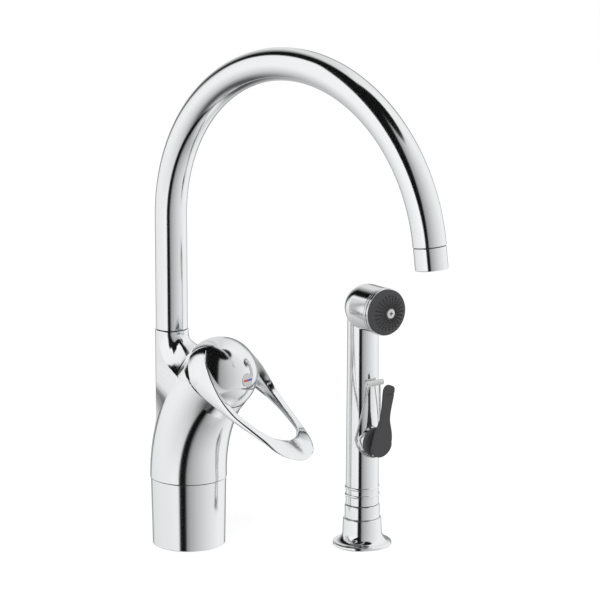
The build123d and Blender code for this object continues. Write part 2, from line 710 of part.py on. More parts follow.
def spray_foot():
    """Threaded collar and plug under the handle: it seats on the holder and takes the hose."""
    plug_r = HOLDER_BORE_R - RUN_FIT - BUSH_WALL - RUN_FIT
    nipple_r = 5.6
    outline = [
        (4.0, 1.0), (nipple_r, 1.0), (nipple_r, BUSH_LOW - 0.5), (plug_r, BUSH_LOW + 1.0),
        (plug_r, CUP_TOP), (COLLAR_R - 0.6, CUP_TOP), (COLLAR_R, CUP_TOP + 1.0),
        (COLLAR_R, COLLAR_TOP - 1.2), (COLLAR_R - 0.5, COLLAR_TOP - 0.4), (COLLAR_R - 1.4, COLLAR_TOP - 0.4),
        (HANDLE_BORE_R - SEAT_FIT, COLLAR_TOP - 0.4), (HANDLE_BORE_R - SEAT_FIT, COLLAR_TOP + 9.0),
        (4.0, COLLAR_TOP + 9.0),
    ]
    return SPRAY * turned(outline)


def foot_gasket():
    inner = HANDLE_BORE_R
    return SPRAY * ring(HANDLE_R_BOTTOM - 0.5, inner, COLLAR_TOP - 0.4, COLLAR_TOP)


def handle_taper(low, high):
    """The handle's tapered rod between two heights."""
    return turned([(0, low), (handle_radius(low), low), (handle_radius(high), high), (0, high)])


def spray_handle():
    """Tapered handle with its valve boss, the turned beads and the spigot for the head."""
    beads = [Pos(0, 0, z) * Torus(handle_radius(z) - BEAD_R * 0.45, BEAD_R) for z in BEAD_HEIGHTS]
    boss = Pos(0, 0, VALVE_Z) * facing_front(boss_blank(), 0)
    spigot = rod(HEAD_SPIGOT_R, HEAD_JOINT, HEAD_JOINT + HEAD_SPIGOT - SEAT_FIT)
    shape = handle_taper(COLLAR_TOP, HEAD_JOINT) + beads + boss + spigot
    shape -= rod(HANDLE_BORE_R, COLLAR_TOP - 1, HEAD_Z)
    shape -= Pos(0, 0, VALVE_Z) * facing_front(rod(VALVE_BORE_R, 0, 40), 0)
    return SPRAY * shape


def spray_head():
    """Cast barrel with a rounded back and the socket that sits on the handle's spigot."""
    barrel = Pos(0, 0, HEAD_Z) * facing_front(rod(HEAD_R, 0, HEAD_FRONT - HEAD_BACK), HEAD_BACK)
    back = Pos(0, -HEAD_BACK, HEAD_Z) * Sphere(HEAD_R)
    shape = handle_taper(HEAD_JOINT, HEAD_Z) + barrel + back
    hollow = Pos(0, 0, HEAD_Z) * facing_front(rod(HEAD_R - HEAD_WALL, 0, 40), HEAD_BACK + 2)
    hollow_back = Pos(0, -HEAD_BACK - 2, HEAD_Z) * Sphere(HEAD_R - HEAD_WALL)
    shape -= hollow
    shape -= hollow_back
    shape -= rod(HANDLE_BORE_R, HEAD_JOINT - 1, HEAD_Z)
    shape -= rod(HEAD_SPIGOT_R + SEAT_FIT, HEAD_JOINT, HEAD_JOINT + HEAD_SPIGOT)
    return SPRAY * shape


def boss_blank():
    """Boss turned about +Z from the handle's axis to its front rim, a little wider in front."""
    root = HANDLE_R_TOP - 4.0
    return turned([
        (0, 0), (BOSS_ROOT_R, 0), (BOSS_ROOT_R, root), (BOSS_FRONT_R, BOSS_FRONT - 0.5),
        (BOSS_FRONT_R - 0.4, BOSS_FRONT), (0, BOSS_FRONT),
    ])


def head_ring(number):
    """One of the two chrome rings that clamp the spray plate."""
    low = HEAD_FRONT + RING_GAP + number * (RING_WIDTH + RING_GAP)
    shape = turned([
        (FACE_R - 3.2, low), (RING_R - 0.3, low), (RING_R, low + 0.3),
        (RING_R, low + RING_WIDTH - 0.3), (RING_R - 0.3, low + RING_WIDTH), (FACE_R - 3.2, low + RING_WIDTH),
    ])
    return SPRAY * Pos(0, 0, HEAD_Z) * facing_front(shape, 0)


def head_seal(number):
    low = HEAD_FRONT + number * (RING_WIDTH + RING_GAP)
    shape = ring(FACE_R - 0.3, FACE_R - 3.2, low, low + RING_GAP)
    return SPRAY * Pos(0, 0, HEAD_Z) * facing_front(shape, 0)


def spray_plate():
    """Bulged spray plate with its rings of jets and a skirt that reaches into the head."""
    bulge_r = (FACE_R ** 2 + FACE_RISE ** 2) / (2 * FACE_RISE)
    rim = PLATE_BACK + PLATE_EDGE
    middle = rim + FACE_RISE
    half = asin(FACE_R / bulge_r) / 2
    on_bulge = (bulge_r * sin(half), 0, middle - bulge_r + bulge_r * cos(half))
    skirt_out = FACE_R - 3.4
    skirt_in = FACE_R - 4.8
    outline = Wire([
        Line((0, 0, PLATE_BACK), (skirt_in, 0, PLATE_BACK)),
        Line((skirt_in, 0, PLATE_BACK), (skirt_in, 0, PLATE_BACK - 4.0)),
        Line((skirt_in, 0, PLATE_BACK - 4.0), (skirt_out, 0, PLATE_BACK - 4.0)),
        Line((skirt_out, 0, PLATE_BACK - 4.0), (skirt_out, 0, PLATE_BACK)),
        Line((skirt_out, 0, PLATE_BACK), (FACE_R, 0, PLATE_BACK)),
        Line((FACE_R, 0, PLATE_BACK), (FACE_R, 0, rim)),
        ThreePointArc((FACE_R, 0, rim), on_bulge, (0, 0, middle)),
        Line((0, 0, middle), (0, 0, PLATE_BACK)),
    ])
    plate = revolve(make_face(outline), Axis.Z)
    jets = []
    for i in range(JET_RINGS):
        spots = PolarLocations(JET_RING_R + i * JET_RING_STEP, 8 + 4 * i, start_angle=JET_TURN * i)
        jets += [loc * rod(HOLE_R, PLATE_BACK - 1, middle + 1) for loc in spots]
    plate -= jets
    plate -= rod(1.6, PLATE_BACK - 6, middle + 1)
    plate -= rod(SCREW_HEAD_R + SEAT_FIT, middle - 1.2, middle + 2)
    return SPRAY * Pos(0, 0, HEAD_Z) * facing_front(plate, 0)


def face_screw():
    """Cross-head screw in the middle of the spray plate."""
    rim = PLATE_BACK + PLATE_EDGE
    head_low = rim + FACE_RISE - 1.2
    screw = rod(1.5, PLATE_BACK - 9, head_low) + rod(SCREW_HEAD_R, head_low, rim + FACE_RISE + 0.4)
    top = rim + FACE_RISE + 0.4
    for turn in (0, 90):
        screw -= Pos(0, 0, top) * Rot(0, 0, turn) * Box(2.9, 0.75, 2.0)
    return SPRAY * Pos(0, 0, HEAD_Z) * facing_front(screw, 0)


def screw_bridge():
    """Spider in the head that the plate's screw threads into."""
    low = PLATE_BACK - 9
    high = PLATE_BACK - 4.4
    arm = Box(2 * (FACE_R - 3.4), 4.0, high - low, align=(Align.CENTER, Align.CENTER, Align.MIN))
    spider = rod(4.2, low, high) + Pos(0, 0, low) * arm + Pos(0, 0, low) * Rot(0, 0, 90) * arm
    spider = spider & rod(HEAD_R - HEAD_WALL - SEAT_FIT, low, high)
    spider -= rod(1.5 + 0.03, low - 1, high + 1)
    return SPRAY * Pos(0, 0, HEAD_Z) * facing_front(spider, 0)


# ---------------------------------------------------------------- trigger valve
def at_valve(shape, out=0.0):
    """Place a piece that is made about +Z on the valve's axis, pointing to the front."""
    return SPRAY * Pos(0, 0, VALVE_Z) * facing_front(shape, out)


def on_pin(radius, width, x=0.0):
    """A cylinder across the spray on the axis of the trigger's pin."""
    return Pos(x, -PIVOT_OUT, PIVOT_Z) * Rot(0, 90, 0) * Cylinder(radius, width)


def valve_cap():
    """Screw cap of the valve: a dark disc with the two lugs of the trigger's pin."""
    cap = turned([
        (PLUNGER_R + RUN_FIT, BOSS_FRONT - CAP_SPIGOT), (VALVE_BORE_R - SEAT_FIT, BOSS_FRONT - CAP_SPIGOT),
        (VALVE_BORE_R - SEAT_FIT, BOSS_FRONT), (CAP_R, BOSS_FRONT), (CAP_R, CAP_FRONT - 0.5),
        (CAP_R - 0.5, CAP_FRONT), (PLUNGER_R + RUN_FIT, CAP_FRONT),
    ])
    lugs = []
    for side in (-1, 1):
        x = side * (LUG_GAP + LUG_WIDTH) / 2
        root_low = CAP_FRONT - 0.5
        root = Pos(x, -(root_low + PIVOT_OUT) / 2, PIVOT_Z) * Box(LUG_WIDTH, PIVOT_OUT - root_low, 2 * LUG_ROOT)
        lugs.append(SPRAY * (on_pin(LUG_R, LUG_WIDTH, x) + root))
    return at_valve(cap) + lugs - SPRAY * on_pin(PIN_R, 20)


def trigger_pin():
    return SPRAY * on_pin(PIN_R, LUG_GAP + 2 * LUG_WIDTH - 0.4)


def trigger_lever():
    """Spoon-shaped paddle: a round end over the valve, a slim arm that leans out and a notched tip."""
    spine = TRIGGER_SPINE
    half = TRIGGER_THICK / 2
    front = Spline(*[(0, -(out + half), z) for out, z in spine])
    back = Spline(*[(0, -(out - half), z) for out, z in spine])
    side = make_face(Wire([front.edge(), Line(front @ 1, back @ 1), back.edge(), Line(back @ 0, front @ 0)]))
    plate = extrude(side, 12, dir=(1, 0, 0), both=True)

    top_z = TRIGGER_TIP_Z - TIP_HALF
    right = Spline((SPOON_HALF, 0, SPOON_Z), (WAIST_HALF, 0, SPOON_Z + 17.0), (TIP_HALF, 0, top_z),
                   tangents=[(0, 0, 1), (0, 0, 1)])
    left = Spline((-SPOON_HALF, 0, SPOON_Z), (-WAIST_HALF, 0, SPOON_Z + 17.0), (-TIP_HALF, 0, top_z),
                  tangents=[(0, 0, 1), (0, 0, 1)])
    tip = ThreePointArc((TIP_HALF, 0, top_z), (0, 0, TRIGGER_TIP_Z), (-TIP_HALF, 0, top_z))
    bottom = ThreePointArc((-SPOON_HALF, 0, SPOON_Z), (0, 0, spine[0][1] + 0.05), (SPOON_HALF, 0, SPOON_Z))
    outline = make_face(Wire([right.edge(), tip, left.edge(), bottom]))
    paddle = plate & extrude(outline, 60, dir=(0, -1, 0))

    # knuckle on the pin, pockets for the lugs and the catch groove below the tip
    paddle += on_pin(LUG_R, LUG_GAP - 2 * LUG_PLAY)
    pocket_width = LUG_WIDTH + 2 * FREE_FIT
    for side_sign in (-1, 1):
        x = side_sign * (LUG_GAP + LUG_WIDTH) / 2
        paddle -= on_pin(LUG_R + FREE_FIT, pocket_width, x)
        behind = Box(pocket_width, 4.0, 2 * (LUG_R + FREE_FIT), align=(Align.CENTER, Align.MIN, Align.CENTER))
        paddle -= Pos(x, -PIVOT_OUT, PIVOT_Z) * behind
    paddle -= on_pin(PIN_R + RUN_FIT, 20)
    groove_z = TRIGGER_TIP_Z - TIP_NOTCH
    notch = Pos(0, -(spine_out(groove_z) + half + 0.15), groove_z)
    paddle -= notch * Rot(0, 90, 0) * Cylinder(0.5, 20)
    return SPRAY * paddle


def spine_out(z):
    """How far out the trigger's middle line stands at a height."""
    for (out_low, z_low), (out_high, z_high) in zip(TRIGGER_SPINE, TRIGGER_SPINE[1:]):
        if z <= z_high:
            return out_low + (out_high - out_low) * (z - z_low) / (z_high - z_low)
    return TRIGGER_SPINE[-1][0]


def valve_plunger():
    """Plunger that the trigger pushes in; its inner head opens the seal in the waterway."""
    return at_valve(turned([
        (0, PLUNGER_HEAD - 1.8), (PLUNGER_HEAD_R, PLUNGER_HEAD - 1.8), (PLUNGER_HEAD_R, PLUNGER_HEAD),
        (PLUNGER_R, PLUNGER_HEAD), (PLUNGER_R, PLUNGER_TIP - 1.2), (PLUNGER_R - 1.2, PLUNGER_TIP),
        (0, PLUNGER_TIP),
    ]))


def valve_seat():
    """Sleeve pressed in the valve bore, with the seat that the plunger's seal closes."""
    seat = ring(VALVE_BORE_R - SEAT_FIT, PLUNGER_R + 0.9, PLUNGER_HEAD + FREE_FIT, 8.2)
    return at_valve(seat)


def valve_o_ring():
    return at_valve(o_ring(BOSS_FRONT - 3.8, PLUNGER_R + RUN_FIT + 0.75, 0.72))


# ---------------------------------------------------------------- hold-open bail
def rounded_path(points, radii):
    """Straight runs through the points, with each inner corner rounded by an arc."""
    spots = [Vector(*point) for point in points]
    edges = []
    last = spots[0]
    for before, corner, after, radius in zip(spots, spots[1:], spots[2:], radii):
        back = (before - corner).normalized()
        ahead = (after - corner).normalized()
        half = radians(back.get_angle(ahead) / 2)
        trim = radius / tan(half)
        inward = (back + ahead).normalized()
        top = corner + inward * (radius / sin(half) - radius)
        edges.append(Line(last, corner + back * trim))
        edges.append(ThreePointArc(corner + back * trim, top, corner + ahead * trim))
        last = corner + ahead * trim
    edges.append(Line(last, spots[-1]))
    return Wire(edges)


def bail_wire():
    """Spring wire that lies round the valve boss and carries the roller between its ends."""
    half = [(-1.5, -ROLLER_OUT, ROLLER_Z), (-LEG_X, -ROLLER_OUT, ROLLER_Z)]
    half += [(-x, -out, VALVE_Z + rise) for x, out, rise in LOOP_CORNERS]
    points = half + [(-x, y, z) for x, y, z in reversed(half)]
    radii = WIRE_BENDS + WIRE_BENDS[::-1]
    start = Plane(origin=points[0], z_dir=(-1, 0, 0))
    return SPRAY * sweep(start * Circle(WIRE_R), path=rounded_path(points, radii))


def bail_roller():
    """Grip sleeve between the wire's ends, open underneath where the legs turn in."""
    roller = on_roller_axis(ROLLER_R, ROLLER_LENGTH) - on_roller_axis(WIRE_R + SEAT_FIT, ROLLER_LENGTH + 2)
    width = LEG_X + WIRE_R + FREE_FIT - 2.6
    slot = Box(width, 2 * (WIRE_R + FREE_FIT), ROLLER_R + 3, align=(Align.MIN, Align.CENTER, Align.MAX))
    for start in (2.6, -2.6 - width):
        roller -= Pos(start, -ROLLER_OUT, ROLLER_Z + WIRE_R + SEAT_FIT) * slot
    return SPRAY * roller


def on_roller_axis(radius, length):
    return Pos(0, -ROLLER_OUT, ROLLER_Z) * Rot(0, 90, 0) * Cylinder(radius, length)


# ---------------------------------------------------------------- build and write
def build_all():
    keep("base_riser", base_riser())
    keep("base_gasket", base_gasket())
    keep("seam_gasket", seam_gasket())
    keep("body_casting", body_casting())
    keep("neck_washer", neck_washer())
    keep("neck_set_screw", neck_set_screw())
    keep("spout_tube", spout_tube())
    keep("spout_shank", spout_shank())
    keep("spout_o_rings", spout_o_rings())
    keep("spout_slide_band", spout_slide_band())
    keep("aerator_sleeve", aerator_sleeve())
    keep("aerator_gasket", aerator_gasket())
    keep("aerator_washer", aerator_washer())
    keep("aerator_insert", aerator_insert())
    keep("cartridge_base", cartridge_base())
    keep("cartridge_seals", cartridge_seals())
    keep("fixed_disc", fixed_disc())
    keep("moving_disc", moving_disc())
    keep("disc_carrier", disc_carrier())
    keep("cartridge_shell", cartridge_shell())
    keep("turret", turret())
    keep("stem_pin", stem_pin())
    keep("cartridge_stem", cartridge_stem())
    keep("cartridge_nut", cartridge_nut())
    keep("cover_ring", cover_ring())
    keep("lever_handle", lever_handle())
    keep("lever_grub_screw", lever_grub_screw())
    keep("indicator_disc", indicator_disc())
    keep("indicator_hot_mark", indicator_mark(-1))
    keep("indicator_cold_mark", indicator_mark(1))
    keep("holder_flange", holder_flange())
    keep("holder_gasket", holder_gasket())
    keep("holder_bush", holder_bush())
    keep("spray_foot", spray_foot())
    keep("foot_gasket", foot_gasket())
    keep("spray_handle", spray_handle())
    keep("spray_head", spray_head())
    for number, name in enumerate(("head_ring_rear", "head_ring_front")):
        keep(name, head_ring(number))
    keep("head_seals", group([head_seal(0), head_seal(1)]))
    keep("spray_plate", spray_plate())
    keep("face_screw", face_screw())
    keep("screw_bridge", screw_bridge())
    keep("valve_cap", valve_cap())
    keep("trigger_pin", trigger_pin())
    keep("trigger_lever", trigger_lever())
    keep("valve_plunger", valve_plunger())
    keep("valve_seat", valve_seat())
    keep("valve_o_ring", valve_o_ring())
    keep("bail_wire", bail_wire())
    keep("bail_roller", bail_roller())


build_all()
for node, shape in pieces.items():
    export_step(shape, f"parts/{node}.step")
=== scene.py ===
"""Looks of a kitchen mixer tap with a gooseneck spout, a loop lever and a side spray.

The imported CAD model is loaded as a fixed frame. Each operator models one piece or one group of like
pieces, and the last one sets up the floor, the studio light and the camera. Shapes are worked out in
millimetres and turned into metres when a piece is finished.
"""

import json
from math import asin, atan2, cos, degrees, pi, radians, sin, sqrt, tan

import bmesh
import bpy
from bpy.props import FloatProperty, FloatVectorProperty, PointerProperty
from mathutils import Matrix, Vector
from mathutils.geometry import interpolate_bezier


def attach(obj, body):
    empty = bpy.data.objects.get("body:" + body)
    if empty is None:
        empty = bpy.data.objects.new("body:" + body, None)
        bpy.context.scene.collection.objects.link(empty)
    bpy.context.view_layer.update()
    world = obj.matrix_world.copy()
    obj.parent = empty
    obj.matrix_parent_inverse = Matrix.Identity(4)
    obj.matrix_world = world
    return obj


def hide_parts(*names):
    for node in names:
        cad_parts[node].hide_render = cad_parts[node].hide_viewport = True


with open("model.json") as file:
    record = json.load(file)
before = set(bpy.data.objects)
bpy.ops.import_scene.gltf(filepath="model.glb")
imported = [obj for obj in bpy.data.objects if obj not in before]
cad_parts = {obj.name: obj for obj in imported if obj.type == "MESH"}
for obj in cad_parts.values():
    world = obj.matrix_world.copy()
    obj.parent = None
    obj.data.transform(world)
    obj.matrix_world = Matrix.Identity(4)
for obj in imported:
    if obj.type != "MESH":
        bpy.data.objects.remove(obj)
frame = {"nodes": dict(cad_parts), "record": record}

bl_info = {
    "name": "Kitchen mixer with side spray",
    "version": (1, 0, 0),
    "blender": (4, 5, 0),
    "location": "3D View > Sidebar > Mixer",
    "description": "Dresses the packed mixer tap and its side spray, and sets up the studio",
    "category": "Object",
}

MM = 0.001
IN_METRES = Matrix.Scale(MM, 4)
NODE_SLOTS = {part["node"]: part["material_slot"] for part in frame["record"]["subparts"]}

# ---------------------------------------------------------------- sizes, in millimetres
# body
RISER_R_BOTTOM = 25.1
RISER_R_TOP = 26.1
RISER_HEIGHT = 47.5
RISER_WALL = 3.6
SEAM = 0.6
BODY_R = 26.6
BEND_START = 50.21      # height where the body starts to lean
BEND_R = 105.0
AXIS_TILT = radians(42.0)
HOUSING_R = 25.5
HOUSING_TOP = -5.0      # rim of the cartridge housing, along the hub's axis
CHAMBER_R = 17.7
CHAMBER_DEPTH = 25.0
NUT_BORE_R = 20.5
NUT_BORE_DEPTH = 3.0
SPOUT_Y = 15.2
NECK_R = 11.5
NECK_TOP = 149.6
SOCKET_R = 9.6
SOCKET_DEPTH = 31.0
# spout
TUBE_R = 11.0
TUBE_WALL = 1.5
LEG_TOP = 228.5
ARC_R = 117.5
ARC_ANGLE = radians(172.2)
TAIL = 1.6
SLEEVE_R = 10.8
SLEEVE_WALL = 1.5
SLEEVE_LENGTH = 15.4
# hub and lever
HUB_Z = 125.5
DOME_R = 25.5
DOME_WALL = 2.2
DOME_RIM = -4.6
LIFT = radians(25.0)    # the dome's back rim rises by the lever's lift
COVER_R = 22.9
COVER_WALL = 1.6
COVER_TOP = 13.0
STEM_SOCKET = 13.8      # side of the boss over the stem
STEM_HOLE = 7.0
STEM_DEPTH = 10.2
BOSS_LOW = 9.0
BOSS_HEIGHT = 14.0
INDICATOR_R = 4.35
INDICATOR_GAP = 0.35    # dark line round the indicator disc
INDICATOR_SEAT = 1.6    # depth of the disc's seat
LOOP_BULGE = 0.8        # how far the arm's sides are rounded out at half height
# side spray
SPRAY_X = 78.6
SPRAY_Y = -90.6
SPRAY_TURN = radians(-8.8)
FLANGE_R = 20.3
FLANGE_THICK = 2.6
CUP_R = 13.5
CUP_TOP = 19.4
HOLDER_BORE_R = 10.4
COLLAR_R = 12.1
COLLAR_TOP = 29.5
HANDLE_R_BOTTOM = 11.45
HANDLE_R_TOP = 10.7
BEAD_HEIGHTS = (36.0, 41.3)
BEAD_R = 1.15
HEAD_Z = 169.1
HEAD_R = 16.0
HEAD_BACK = 5.5
HEAD_FRONT = 20.4
HEAD_WALL = 2.6
HEAD_JOINT = HEAD_Z - HEAD_R - 0.7
RING_R = 16.4
RING_WIDTH = 1.7
RING_GAP = 0.6
FACE_R = 15.7
FACE_RISE = 3.4
PLATE_BACK = HEAD_FRONT + 2 * (RING_WIDTH + RING_GAP)
PLATE_EDGE = 1.6
JET_RINGS = 5
JET_RAYS = 24
JET_RING_R = 5.0
JET_RING_STEP = 1.65
JET_R = 0.52
JET_TIP_R = 0.5
JET_HEIGHT = 0.8
JET_LIP = 0.1
JET_DEPTH = 0.9
SCREW_R = 3.3
SCREW_HEAD = 1.6        # height of the screw's head
SCREW_RISE = 0.4        # how far it stands over the plate
SLOT_LENGTH = 2.9
SLOT_WIDTH = 0.75
VALVE_Z = 75.9
BOSS_FRONT = 13.0
BOSS_ROOT_R = 9.2
BOSS_FRONT_R = 9.9
# sizes of the blocks that only cut
WIDE = 300.0
DEEP = 100.0
# facets
CURVE_STEPS = 10
HULL_SIDES = 216
HULL_LEVELS = 70


# ---------------------------------------------------------------- node helpers
def linear(level):
    """Linear light of a grey that is seen as this level on screen, from 0 to 1."""
    return level / 12.92 if level < 0.04045 else ((level + 0.055) / 1.055) ** 2.4


def grey(level):
    """Opaque linear colour of a grey seen as this level on screen."""
    return (linear(level),) * 3 + (1.0,)


class Graph:
    """Short calls for building a node tree."""

    def __init__(self, tree):
        self.tree = tree

    def add(self, kind, settings=(), **inputs):
        """A node of this kind, with its settings and its inputs by name or number."""
        node = self.tree.nodes.new(kind)
        for key, value in dict(settings).items():
            setattr(node, key, value)
        for key, value in inputs.items():
            socket = node.inputs[int(key[1:])] if key[1:].isdigit() else node.inputs[key.replace("_", " ")]
            self.feed(socket, value)
        return node

    def feed(self, socket, value):
        """Link an output to a socket, or write a plain value into it."""
        if isinstance(value, bpy.types.NodeSocket):
            self.tree.links.new(value, socket)
        else:
            socket.default_value = value

    def math(self, operation, first, second=0.0):
        """A Math node's result."""
        return self.add("ShaderNodeMath", {"operation": operation}, i0=first, i1=second).outputs[0]

    def levels(self, factor, place_of, stops):
        """Greys along a ramp, from (degrees, level) stops and the place that degrees have on it."""
        node = self.add("ShaderNodeValToRGB", i0=factor)
        elements = node.color_ramp.elements
        while len(elements) < len(stops):
            elements.new(0.5)
        for element, (angle, level) in zip(elements, stops):
            element.position = place_of(angle)
            element.color = grey(level)
        return node.outputs[0]

    def fade(self, value, low, high):
        """A smooth rise from 0 to 1 between two values."""
        return self.add("ShaderNodeMapRange", {"interpolation_type": "SMOOTHSTEP"},
                        i0=value, i1=low, i2=high).outputs[0]

    def along(self, direction, vector):
        """How far a direction points along a vector."""
        return self.add("ShaderNodeVectorMath", {"operation": "DOT_PRODUCT"},
                        i0=direction, i1=vector).outputs["Value"]

    def mix(self, factor, first, second):
        """A mix of two colours."""
        node = self.add("ShaderNodeMix", {"data_type": "RGBA"}, i0=factor)
        self.feed(node.inputs[6], first)
        self.feed(node.inputs[7], second)
        return node.outputs[2]


def fresh_material(name):
    """An empty node material with its output, and the graph to build it in."""
    material = bpy.data.materials.new(name)
    material.use_nodes = True
    material.node_tree.nodes.clear()
    return material, Graph(material.node_tree)


def surface(graph, **values):
    """A Principled shader, wired to the material's output."""
    shader = graph.add("ShaderNodeBsdfPrincipled", **values)
    output = graph.add("ShaderNodeOutputMaterial")
    graph.tree.links.new(shader.outputs[0], output.inputs[0])


def effect_group(name, inputs, outputs):
    """A node group with these sockets, and the graph, inputs and Object place to build it with."""
    tree = bpy.data.node_groups.new(name, "ShaderNodeTree")
    for label, kind, value in inputs:
        socket = tree.interface.new_socket(name=label, in_out="INPUT", socket_type="NodeSocket" + kind)
        socket.default_value = value
    for label, kind in outputs:
        tree.interface.new_socket(name=label, in_out="OUTPUT", socket_type="NodeSocket" + kind)
    graph = Graph(tree)
    return graph, graph.add("NodeGroupInput").outputs, graph.add("ShaderNodeTexCoord").outputs["Object"]


# ---------------------------------------------------------------- shared effects
def handling_group():
    """Faint wipe marks: a roughness and a tint that drift over a polished surface."""
    graph, inputs, place = effect_group(
        "handling marks",
        (("Patch size", "Float", 40.0), ("Smoothest", "Float", 0.02), ("Roughest", "Float", 0.06)),
        (("Roughness", "Float"), ("Mask", "Float")))
    patches = graph.add("ShaderNodeTexNoise", Vector=place, Scale=inputs[0], Detail=3.0, Roughness=0.55)
    wipes = graph.add("ShaderNodeMapping", Vector=place, Scale=(900.0, 900.0, 60.0)).outputs[0]
    streaks = graph.add("ShaderNodeTexNoise", Vector=wipes, Scale=1.0, Detail=2.0).outputs[0]
    mask = graph.fade(graph.math("MULTIPLY", patches.outputs[0], streaks), 0.12, 0.42)
    rough = graph.add("ShaderNodeMapRange", i0=mask, i1=0.0, i2=1.0, i3=inputs[1], i4=inputs[2]).outputs[0]
    graph.add("NodeGroupOutput", i0=rough, i1=mask)
    return graph.tree


def grain_group():
    """Moulded grain: a fine pebbled height with a slow drift in tone."""
    graph, inputs, place = effect_group(
        "moulded grain",
        (("Grain size", "Float", 2600.0), ("Base", "Color", (0.05, 0.05, 0.05, 1.0)),
         ("Drift", "Color", (0.07, 0.07, 0.07, 1.0))),
        (("Colour", "Color"), ("Height", "Float")))
    pebbles = graph.add("ShaderNodeTexVoronoi", {"feature": "SMOOTH_F1"}, Vector=place, Scale=inputs[0])
    dust = graph.add("ShaderNodeTexNoise", Vector=place, Scale=180.0, Detail=4.0).outputs[0]
    tone = graph.add("ShaderNodeMapRange", i0=dust, i1=0.35, i2=0.7).outputs[0]
    graph.add("NodeGroupOutput", i0=graph.mix(tone, inputs[1], inputs[2]), i1=pebbles.outputs[0])
    return graph.tree


def turning_group():
    """Lathe marks: fine rings about an upright axis, for turned brass and steel."""
    graph, inputs, place = effect_group(
        "turning marks",
        (("Pitch", "Float", 2200.0), ("Smoothest", "Float", 0.2), ("Roughest", "Float", 0.4)),
        (("Roughness", "Float"), ("Height", "Float")))
    rings = graph.add("ShaderNodeTexWave", {"bands_direction": "Z"}, Vector=place, Scale=inputs[0],
                      Distortion=1.5, Detail=2.0).outputs["Fac"]
    rough = graph.add("ShaderNodeMapRange", i0=rings, i1=0.0, i2=1.0, i3=inputs[1], i4=inputs[2]).outputs[0]
    graph.add("NodeGroupOutput", i0=rough, i1=rings)
    return graph.tree


def placed(graph, tree, **values):
    """A group placed in a material with its own values."""
    node = graph.add("ShaderNodeGroup", {"node_tree": tree})
    for key, value in values.items():
        graph.feed(node.inputs[key.replace("_", " ")], value)
    return node.outputs


# ---------------------------------------------------------------- materials
def polished_chrome(effects, settings):
    """Bright chrome plate with faint wipe marks."""
    graph = fresh_material("chrome")[1]
    marks = placed(graph, effects["handling"], Patch_size=38.0,
                   Smoothest=settings.chrome_roughness, Roughest=settings.chrome_roughness + 0.02)
    clean = tuple(settings.chrome_colour) + (1.0,)
    dull = tuple(0.97 * c for c in settings.chrome_colour) + (1.0,)
    tint = graph.mix(marks["Mask"], clean, dull)
    surface(graph, Base_Color=tint, Metallic=1.0, Roughness=marks["Roughness"])


def moulded(name, effects, base, drift, roughness, bump=0.12):
    """Moulded plastic, rubber or ceramic with a fine grain that drifts between two colours."""
    graph = fresh_material(name)[1]
    grains = placed(graph, effects["grain"], Grain_size=2600.0, Base=(*base, 1.0), Drift=(*drift, 1.0))
    normal = graph.add("ShaderNodeBump", Strength=bump, Distance=0.00005, Height=grains["Height"])
    surface(graph, Base_Color=grains["Colour"], Roughness=roughness, Normal=normal.outputs[0])


def turned_metal(name, effects, colour, smoothest, roughest):
    """Bare metal off the lathe."""
    graph = fresh_material(name)[1]
    marks = placed(graph, effects["turning"], Smoothest=smoothest, Roughest=roughest)
    normal = graph.add("ShaderNodeBump", Strength=0.15, Distance=0.00004, Height=marks["Height"]).outputs[0]
    surface(graph, Base_Color=(*colour, 1.0), Metallic=1.0, Roughness=marks["Roughness"], Normal=normal)


def build_materials(settings):
    """Every finish of the record's slots, each named as its slot."""
    effects = {"handling": handling_group(), "grain": grain_group(), "turning": turning_group()}
    polished_chrome(effects, settings)
    dark = tuple(settings.plastic_colour)
    for name, base, drift, roughness, bump in (
            ("dark_plastic", dark, tuple(1.25 * c for c in dark), 0.42, 0.12),
            ("seal_rubber", grey(0.10)[:3], grey(0.13)[:3], 0.6, 0.12),
            ("white_plastic", grey(0.90)[:3], grey(0.86)[:3], 0.35, 0.06),
            ("grey_plastic", grey(0.52)[:3], grey(0.48)[:3], 0.4, 0.12),
            ("clear_plastic", grey(0.86)[:3], grey(0.80)[:3], 0.22, 0.04),
            ("ceramic", (0.72, 0.62, 0.55), (0.68, 0.57, 0.5), 0.12, 0.03),
            ("hot_red", (0.95, 0.02, 0.015), (0.90, 0.02, 0.015), 0.3, 0.03),
            ("cold_blue", (0.01, 0.13, 0.80), (0.01, 0.12, 0.74), 0.3, 0.03)):
        moulded(name, effects, base, drift, roughness, bump)
    for name, colour, smoothest, roughest in (
            ("brass", (0.72, 0.46, 0.16), 0.22, 0.4),
            ("stainless", (0.84, 0.84, 0.83), 0.12, 0.22),
            ("indicator_face", (0.96, 0.96, 0.96), 0.07, 0.14)):
        turned_metal(name, effects, colour, smoothest, roughest)


# ---------------------------------------------------------------- piece helpers
def finish_piece(bm, name, node_names, slot, body, crease=32.0):
    """Turn a bmesh in metres into a smooth piece that rides on a body and stands for CAD nodes."""
    for face in bm.faces:
        face.smooth = True
    for edge in bm.edges:
        edge.smooth = len(edge.link_faces) == 2 and edge.calc_face_angle() < radians(crease)
    mesh = bpy.data.meshes.new(name)
    bm.to_mesh(mesh)
    bm.free()
    piece = bpy.data.objects.new(name, mesh)
    bpy.context.scene.collection.objects.link(piece)
    mesh.materials.append(bpy.data.materials[slot])
    piece.modifiers.new("even shading", "WEIGHTED_NORMAL").keep_sharp = True
    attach(piece, body)
    if node_names:
        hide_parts(*node_names)


